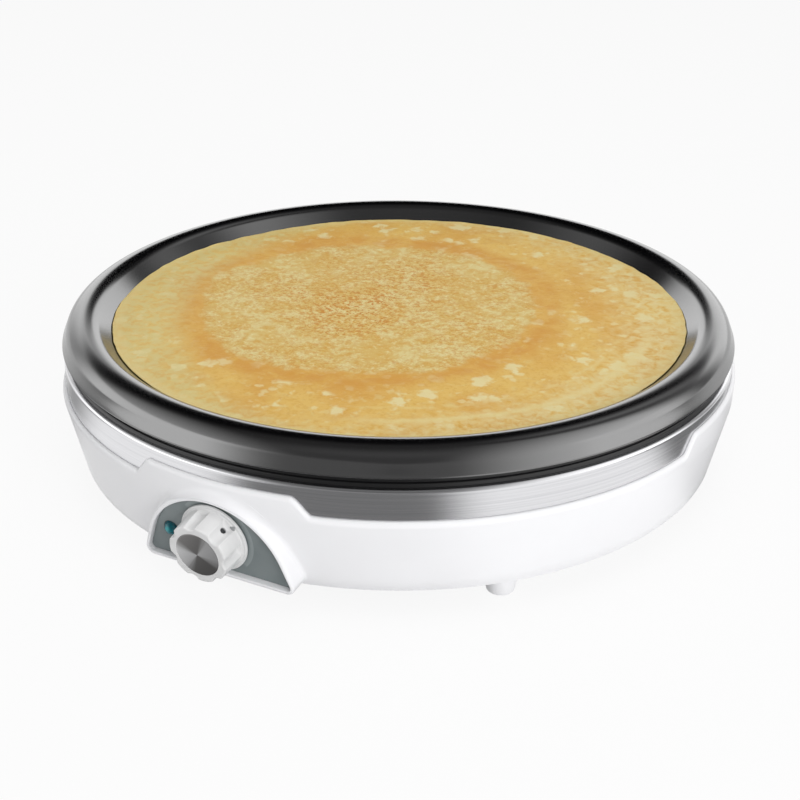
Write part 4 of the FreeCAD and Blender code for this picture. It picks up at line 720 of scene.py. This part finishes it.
def hood_piece():
    """Rounded frame of the control, running back into the wall with a soft fillet."""
    outer = arch_outline(0.0)
    count = len(outer)
    ahead, behind = np.roll(outer, -1, axis=0), np.roll(outer, 1, axis=0)
    tangent = ahead - behind
    normal = np.stack([tangent[:, 1], -tangent[:, 0]], axis=1)
    normal /= np.linalg.norm(normal, axis=1)[:, None]
    side_fillet, extra_at_top, foot_fillet = 1.4, 3.6, 0.6
    upward = np.clip(normal[:, 1], 0, 1)
    blend = side_fillet + extra_at_top * upward ** 1.5
    blend = np.where(normal[:, 1] < -0.5, foot_fillet, blend)
    depth = np.array([wall_depth(x, v) for x, v in outer])
    spread = outer + normal * blend[:, None]
    far_depth = np.array([wall_depth(x, v) for x, v in spread])
    buried, spread_buried = 1.6, 1.2
    edge_r, lip_r, frame_back, back_inset = 1.5, 0.7, -5.3, 5.0
    rings = []

    def ring(outline, q):
        """Add a ring at one depth, or at a depth for each of its points."""
        rings.append(np.column_stack([outline, q if np.ndim(q) else np.full(count, q)]))

    ring(outer, depth - buried)
    ring(spread, far_depth - spread_buried)
    start = np.column_stack([spread, far_depth - 0.02])
    corner = np.column_stack([outer, depth])
    end = np.column_stack([outer, depth + blend])
    for t in np.linspace(0, 1, 10):
        rings.append((1 - t) ** 2 * start + 2 * t * (1 - t) * corner + t * t * end)
    for share in (0.35, 0.7):
        ring(outer, (depth + blend) * (1 - share) + -2.0 * share)
    ring(outer, -edge_r - 0.15)
    for p in arc(0, 0, 1.0, 180, 90, 8):
        ring(arch_outline(edge_r * (1 + p[0])), -edge_r * (1 - p[1]))
    for p in arc(0, 0, 1.0, 90, 0, 6):
        ring(arch_outline(HOOD_FRAME - lip_r * (1 - p[0])), -lip_r * (1 - p[1]))
    ring(arch_outline(HOOD_FRAME), -lip_r - 0.2)
    ring(arch_outline(HOOD_FRAME), -RECESS - 0.2)
    ring(arch_outline(HOOD_FRAME), frame_back)
    inner = arch_outline(back_inset)
    ring(inner, frame_back)
    inner_depth = np.array([wall_depth(x, v) for x, v in inner])
    ring(inner, np.minimum(inner_depth - buried, -6.0))
    return grid_piece("control_hood", np.stack(rings, axis=1), CONTROL)


def gland_pad_piece():
    """Flat boss that the cord gland seats on, at the back of the wall."""
    bore_r, boss_r, back = 7.9, 13.0, -9.0
    profile = rounded([
        (bore_r, back, 0.0), (boss_r, back, 0.0), (boss_r, 0.0, 0.9), (bore_r, 0.0, 0.3),
    ], steps=6)
    middle = Matrix.Translation(AXIS + Vector((0, GLAND_FACE_Y, GLAND_Z)) * MM)
    return lathe("gland_boss", profile, 96, middle @ Matrix.Rotation(-math.pi / 2, 4, "X"))


def foot_piece(index):
    """Tapered foot with a screw's bore, and a pocket under it for the rubber pad."""
    bore_r, top_r, tread_r, pocket_r = 2.3, 9.8, 7.4, 5.0
    top_z, tread_z, pocket_z = 12.8, 0.5, 5.4
    profile = rounded([
        (bore_r, top_z, 0.0), (top_r, top_z, 0.3), (tread_r, tread_z, 1.6),
        (pocket_r, tread_z, 0.4), (pocket_r, pocket_z, 0.3), (bore_r, pocket_z, 0.0),
    ], steps=8)
    a = math.radians(45 + 90 * index)
    middle = Vector((FOOT_CIRCLE_R * math.cos(a), FOOT_CIRCLE_R * math.sin(a), 0))
    return lathe("foot_%d" % (index + 1), profile, 96, Matrix.Translation(AXIS + middle * MM))


# Control

def panel_piece():
    """Plate of the control, its front edge eased, closed towards a point in its middle."""
    edge, flat = 0.1, 0.6
    middle = np.array([0.0, 6.0])
    rings = []

    def ring(inset, q, share=1.0):
        """Add the arch at an inset and a depth, drawn in towards the middle to a share of its size."""
        outline = middle + (arch_outline(HOOD_FRAME + inset) - middle) * share
        rings.append(np.column_stack([outline, np.full(len(outline), q)]))

    ring(edge, -PANEL_BACK)
    for inset, down in ((edge, 0.3), (0.19, 0.09), (0.4, 0.0), (flat, 0.0)):
        ring(inset, -RECESS - down)
    for share in (0.8, 0.6, 0.4, 0.2, 0.0):
        ring(flat, -RECESS, share)
    for share in (0.0, 0.5):
        ring(edge, -PANEL_BACK, share)
    return grid_piece("control_panel_plate", np.stack(rings, axis=1), CONTROL)


def soft_min(a, b, k):
    """The smaller of two lengths, with a fillet of about k where they meet."""
    h = np.clip(0.5 + 0.5 * (b - a) / k, 0.0, 1.0)
    return b * (1 - h) + a * h - k * h * (1 - h)


def knob_piece():
    """Fluted grip on a round skirt, with the pointer's dimple and a seat for the cap."""
    around, flutes = 630, 7
    flute_centre, flute_r, clear_of_grip = 19.6, 4.4, 22.0
    back, bore_r, skirt_r, lower_round, upper_round = -2.2, 13.4, 19.8, 0.5, 0.6
    root_r, root_round = 18.4, 0.6
    grip_r, grip_lean, flute_fillet = 17.7, 0.7, 0.9
    dimple_at_r, dimple_depth, dimple_side = 15.2, 1.5, 0.5
    face_round, seat_r, seat_round, seat_z = 1.0, 12.85, 0.15, 13.2

    theta = np.linspace(0, 2 * np.pi, around, endpoint=False)
    pointer = math.radians(90 - KNOB_ANGLE)
    pitch = 2 * np.pi / flutes
    off = (theta - pointer + pitch / 2) % pitch - pitch / 2
    inside = flute_r ** 2 - (flute_centre * np.sin(off)) ** 2
    flute = flute_centre * np.cos(off) - np.sqrt(np.maximum(inside, 0))
    flute = np.where(inside > 0, flute, clear_of_grip)
    rows = []

    def row(radius, q):
        """Add a row round the knob at a height, with one radius or a radius for each angle."""
        radius = np.broadcast_to(radius, theta.shape)
        q = np.broadcast_to(q, theta.shape)
        rows.append(np.stack([radius * np.cos(theta), radius * np.sin(theta), q], axis=1))

    def side(q):
        """Radius of the grip at a height, flutes included, fading out where they meet the skirt."""
        base = np.full(around, grip_r - grip_lean * (q - SKIRT_TOP) / (KNOB_FACE - SKIRT_TOP))
        cut = soft_min(base, flute, flute_fillet)
        fade = min(max((q - 0.1) / 1.5, 0.0), 1.0)
        fade = math.sqrt(1 - (1 - fade) ** 2)
        return base + (cut - base) * fade

    turn = (theta - pointer + np.pi) % (2 * np.pi) - np.pi
    row(0.0, back)
    row(bore_r, back)
    for p in arc(skirt_r - lower_round, back + lower_round, lower_round, -90, 0, 5):
        row(p[0], p[1])
    for p in arc(skirt_r - upper_round, SKIRT_TOP - upper_round, upper_round, 0, 90, 6):
        row(p[0], p[1])
    row(19.0, SKIRT_TOP)
    row(18.7, SKIRT_TOP)
    for p in arc(root_r, SKIRT_TOP + root_round, root_round, -90, -170, 5):
        row(p[0], p[1])
    for q in np.concatenate([np.linspace(0.2, 6.2, 38), np.linspace(6.6, 12.6, 16)]):
        away = np.hypot(dimple_at_r * turn, q - DIMPLE_Z)
        hole = np.clip((DIMPLE_R - away) / dimple_side, 0, 1)
        hole = hole * hole * (3 - 2 * hole)
        row(side(q) - dimple_depth * hole, q)
    rim = side(KNOB_FACE - face_round)
    for p in arc(0, 0, 1.0, 0, 90, 9):
        row(rim - face_round * (1 - p[0]), KNOB_FACE - face_round * (1 - p[1]))
    last = rim - face_round
    for share in (0.06, 0.4, 0.75, 0.96):
        row(last + (seat_r - last) * share, KNOB_FACE)
    for p in arc(seat_r, KNOB_FACE - seat_round, seat_round, 90, 180, 3):
        row(p[0], p[1])
    row(12.7, seat_z + 0.1)
    row(12.5, seat_z)
    row(0.0, seat_z)
    return grid_piece("knob_grip", np.stack(rows, axis=1), KNOB_PLACE)


def pointer_piece():
    """Small raised triangle on the skirt, pointing outwards, beside the dimple."""
    base, tip, half, corner_round = 16.9, 19.1, 1.9, 0.22
    low, high = -0.75, 0.7
    beside_dimple = 9.0
    corners = [(base, -half), (tip, 0.0), (base, half)]
    outline = rounded([(x, y, corner_round) for x, y in corners], steps=4, hold=0.05)
    middle = np.array([17.4, 0.0])
    rings = []
    for share, q in ((1.0, low), (1.0, high - 0.15), (0.9, high), (0.4, high), (0.0, high)):
        rings.append([(*(middle + (p - middle) * share), q) for p in outline])
    rings.append([(middle[0], middle[1], low) for _ in outline])
    place = KNOB_PLACE @ Matrix.Rotation(math.radians(90 - KNOB_ANGLE - beside_dimple), 4, "Z")
    return grid_piece("knob_pointer", np.stack(rings, axis=1), place)


def cap_piece():
    """Thin metal disc with a rounded edge, level with the knob's face."""
    cap_r, edge_round, under = 12.55, 0.35, 13.25
    profile = [(0.0, under), (cap_r - edge_round, under), (cap_r, under + 0.25)]
    profile += arc(cap_r - edge_round, KNOB_FACE - edge_round, edge_round, 0, 90, 6)
    profile += [(r, KNOB_FACE) for r in (12.0, 8.0, 4.0, 1.0, 0.0)]
    return lathe("knob_cap_disc", profile, 256, KNOB_PLACE)


def lens_piece():
    """Domed lens, part of a sphere above the panel and a straight stem behind it."""
    dome, stem_end = 3.2, -5.0
    sphere = (LENS_R ** 2 + dome ** 2) / (2 * dome)
    start = math.degrees(math.asin((sphere - dome) / sphere))
    profile = [(0.0, stem_end), (LENS_R, stem_end), (LENS_R, -RECESS - 0.3)]
    profile += arc(0.0, -RECESS + dome - sphere, sphere, start, 90, 24)
    place = CONTROL @ Matrix.Translation(Vector((LAMP_X, LAMP_V, 0)) * MM)
    return lathe("pilot_lens_dome", profile, 128, place)


white = white_shell("white_plastic_shell", srgb(240, 240, 242))
built(plate_piece(), "base", "nonstick_casting", nonstick(), "cooking_plate")
built(ring_piece(), "base", "black_phenolic", plain("black_phenolic_ring", srgb(18, 18, 19), 0.4, IOR=1.6),
      "insulating_ring")
built(band_piece(), "base", "brushed_steel", brushed_band(), "trim_band")
built(crepe_piece(), "crepe_sheet", "crepe", crepe_finish(), "crepe")
built(shell_piece(), "base", "white_plastic", white, "base_shell")
built(hood_piece(), "base", "white_plastic", white, "base_shell")
built(gland_pad_piece(), "base", "white_plastic", white, "base_shell")
for foot in range(4):
    built(foot_piece(foot), "base", "white_plastic", white, "feet")
built(panel_piece(), "base", "grey_panel", panel_finish(), "control_panel")
built(knob_piece(), "knob", "white_plastic", knob_finish(), "knob_body")
# The pointer's grey is painted shade, standing in for the shade on the small triangle beside the dimple
built(pointer_piece(), "knob", "white_plastic", plain("pointer_painted_shade", srgb(158, 160, 161), 0.4, 0.5),
      "knob_body")
built(cap_piece(), "knob", "spun_aluminium", spun_cap(), "knob_cap")
built(lens_piece(), "base", "teal_lens", lens_finish(), "pilot_lens")

# Finishes of the CAD nodes that stay: colour, roughness, size and depth of the grain in millimetres,
# how far the colour varies, and other inputs of the shader
METAL = {"Metallic": 1.0}
SLOT_FINISHES = {
    "zinc_sheet": (srgb(176, 180, 184), 0.42, 2.2, 0.012, 0.18, METAL),
    "grey_rubber": (srgb(70, 71, 73), 0.75, 0.5, 0.02, 0.12, {}),
    "zinc_steel": (srgb(196, 198, 200), 0.32, 0.8, 0.01, 0.12, METAL),
    "element_sheath": (srgb(112, 104, 98), 0.5, 0.9, 0.015, 0.25, METAL),
    "bright_aluminium": (srgb(214, 215, 217), 0.3, 3.0, 0.01, 0.08, METAL),
    "brass": (srgb(206, 172, 96), 0.32, 0.7, 0.008, 0.12, METAL),
    "ceramic": (srgb(226, 220, 206), 0.55, 0.6, 0.012, 0.06, {}),
    "bimetal": (srgb(176, 160, 140), 0.36, 0.8, 0.008, 0.14, METAL),
    "black_plastic": (srgb(28, 28, 30), 0.45, 0.5, 0.015, 0.15, {}),
    "clear_glass": (srgb(232, 238, 238), 0.06, 1.5, 0.002, 0.03, {"Transmission Weight": 0.9, "IOR": 1.5}),
    "white_nylon": (srgb(226, 224, 216), 0.5, 0.6, 0.012, 0.05, {}),
    "brown_wire": (srgb(104, 62, 38), 0.5, 0.6, 0.012, 0.12, {}),
    "black_wire": (srgb(26, 26, 27), 0.5, 0.6, 0.012, 0.12, {}),
    "white_wire": (srgb(224, 224, 220), 0.5, 0.6, 0.012, 0.06, {}),
    "blue_wire": (srgb(44, 92, 168), 0.5, 0.6, 0.012, 0.1, {}),
    "green_wire": (srgb(120, 160, 40), 0.5, 0.6, 0.012, 0.1, {}),
}
made = {}
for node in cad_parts.values():
    for index, own in enumerate(node.data.materials):
        slot = own.name.split(".")[0]
        if slot not in SLOT_FINISHES:
            continue
        if slot not in made:
            colour, roughness, grain, depth, vary, extra = SLOT_FINISHES[slot]
            made[slot] = plain("made_" + slot, colour, roughness, grain, depth, vary, **extra)
        node.data.materials[index] = made[slot]


# Floor, light and camera

# Directions on the floor, towards the camera and towards its right
TO_CAMERA = (0.4617, -0.8870)
TO_RIGHT = (0.8870, 0.4617)
FLOOR_GREY = 0.76
FLOOR_HALF = 6.0
AMBIENT = 0.41


def light_path(tree, *kinds):
    """1 for a ray of any of these kinds."""
    node = tree.nodes.new("ShaderNodeLightPath")
    seen = Field(tree, node.outputs[kinds[0]])
    for kind in kinds[1:]:
        seen = seen.math("MAXIMUM", Field(tree, node.outputs[kind]))
    return seen


def flat_parts(tree, coordinate):
    """Share of a coordinate towards the camera's side of the room, towards its right, and up."""
    split = tree.nodes.new("ShaderNodeSeparateXYZ")
    tree.links.new(coordinate, split.inputs[0])
    x, y, z = (Field(tree, split.outputs[k]) for k in "XYZ")
    return x * TO_CAMERA[0] + y * TO_CAMERA[1], x * TO_RIGHT[0] + y * TO_RIGHT[1], z


def bearing_of(near, across):
    """Angle in degrees round the room, from the camera's side towards its right."""
    return across.math("ARCTAN2", near) * (180 / math.pi)


def floor_material():
    """Pale floor: near white to the camera, dim in three sectors of reflections, and it takes the shadow."""
    material = bpy.data.materials.new("floor_white")
    material.use_nodes = True
    tree = material.node_tree
    shader = tree.nodes["Principled BSDF"]
    shader.inputs["Base Color"].default_value = (FLOOR_GREY, FLOOR_GREY, FLOOR_GREY, 1)
    shader.inputs["Roughness"].default_value = 0.9
    shader.inputs["Specular IOR Level"].default_value = 0.0
    coords = tree.nodes.new("ShaderNodeTexCoord")
    near, across, _ = flat_parts(tree, coords.outputs["Object"])
    bearing = bearing_of(near, across)
    front = bearing.hump(-12.0, 38.0).step(0.0, 0.5) * 0.8
    right_end = bearing.hump(84.0, 28.0).step(0.0, 0.6) * 0.8
    left_end = bearing.hump(-98.0, 20.0) * 0.65
    dim = front + right_end + left_end
    mirrored = light_path(tree, "Is Glossy Ray", "Is Transmission Ray")
    glow = tree.nodes.new("ShaderNodeEmission")
    put(tree, glow.inputs["Strength"], mirrored * dim * -1.0 + 1.0)
    mix = tree.nodes.new("ShaderNodeMixShader")
    put(tree, mix.inputs[0], light_path(tree, "Is Camera Ray") * 0.9 + mirrored)
    tree.links.new(shader.outputs[0], mix.inputs[1])
    tree.links.new(glow.outputs[0], mix.inputs[2])
    tree.links.new(mix.outputs[0], tree.nodes["Material Output"].inputs["Surface"])
    return material


corners = [(x * FLOOR_HALF, y * FLOOR_HALF, 0) for x, y in ((-1, -1), (1, -1), (1, 1), (-1, 1))]
floor_mesh = bpy.data.meshes.new("floor")
floor_mesh.from_pydata(corners, [], [(0, 1, 2, 3)])
floor = bpy.data.objects.new("floor", floor_mesh)
bpy.context.scene.collection.objects.link(floor)
floor_mesh.materials.append(floor_material())

world = bpy.data.worlds.new("studio")
bpy.context.scene.world = world
world.use_nodes = True
sky = world.node_tree
background = sky.nodes["Background"]
sky_coords = sky.nodes.new("ShaderNodeTexCoord")
near, across, height = flat_parts(sky, sky_coords.outputs["Generated"])
# The room in reflections: white round the horizon and dim towards the camera, a bright wall at each side,
# a darker gap behind each wall, and a faint glow in front and overhead
bearing = bearing_of(near, across)
low = height - across.math("ABSOLUTE").math("MINIMUM", 0.25) * 0.5
horizon = low.step(0.34, 0.24) * (near.step(0.4, 0.8) * -0.85 + 1.0) * 1.7
right_wall = across.step(0.05, 1.05) * 1.6
left_wall = (across * -1.0).step(0.3, 1.3) * 1.3
walls = (right_wall + left_wall) * near.step(-0.75, -0.35)
front_glow = near.step(-0.1, 0.6) * 0.13
top_glow = height.step(0.6, 0.95) * near.step(-0.6, -0.2) * 0.06
gaps = bearing.hump(117.0, 24.0) * -0.88 + bearing.hump(-136.0, 26.0) * -0.6
room = horizon.math("MAXIMUM", walls) * (gaps + 1.0)
room = room.math("MAXIMUM", front_glow + top_glow)
mirrored = light_path(sky, "Is Glossy Ray", "Is Transmission Ray")
seen = light_path(sky, "Is Camera Ray")
strength = mirrored * (room - AMBIENT) + AMBIENT
put(sky, background.inputs["Strength"], seen * (strength * -1.0 + 1.0) + strength)
background.inputs["Color"].default_value = (1, 1, 1, 1)


# Where the lights point, in metres
LIT_POINT = Vector((0, 0, 0.05))


def softbox(name, location, size, power):
    """Square soft light that points at the object and isn't mirrored in it."""
    light = bpy.data.lights.new(name, "AREA")
    light.size = size
    light.energy = power
    lamp = bpy.data.objects.new(name, light)
    bpy.context.scene.collection.objects.link(lamp)
    lamp.location = location
    lamp.rotation_euler = (LIT_POINT - Vector(location)).to_track_quat("-Z", "Y").to_euler()
    lamp.visible_glossy = False


softbox("key_right", (1.5, -1.1, 0.8), 1.0, 22.0)
softbox("fill_left", (-1.5, -1.0, 0.9), 1.2, 4.0)
softbox("top", (0.1, 0.1, 1.9), 1.4, 12.5)

# Camera fitted to the edges in the photo
CAMERA_PLACE = (0.3707, -0.7019, 0.4158)
CAMERA_AIM = (-0.4153, 0.7978, -0.4371)
CAMERA_ROLL = math.radians(0.29)
camera_data = bpy.data.cameras.new("camera")
camera_data.lens = 64.125
camera_data.sensor_width = 36.0
camera = bpy.data.objects.new("camera", camera_data)
bpy.context.scene.collection.objects.link(camera)
forward = Vector(CAMERA_AIM).normalized()
flat_right = Vector((*TO_RIGHT, 0.0)).normalized()
flat_up = flat_right.cross(forward)
right = flat_right * math.cos(CAMERA_ROLL) + flat_up * math.sin(CAMERA_ROLL)
up = right.cross(forward)
turned = Matrix((right, up, -forward)).transposed().to_4x4()
camera.matrix_world = Matrix.Translation(CAMERA_PLACE) @ turned
bpy.context.scene.camera = camera
bpy.context.scene.view_settings.view_transform = "Standard"
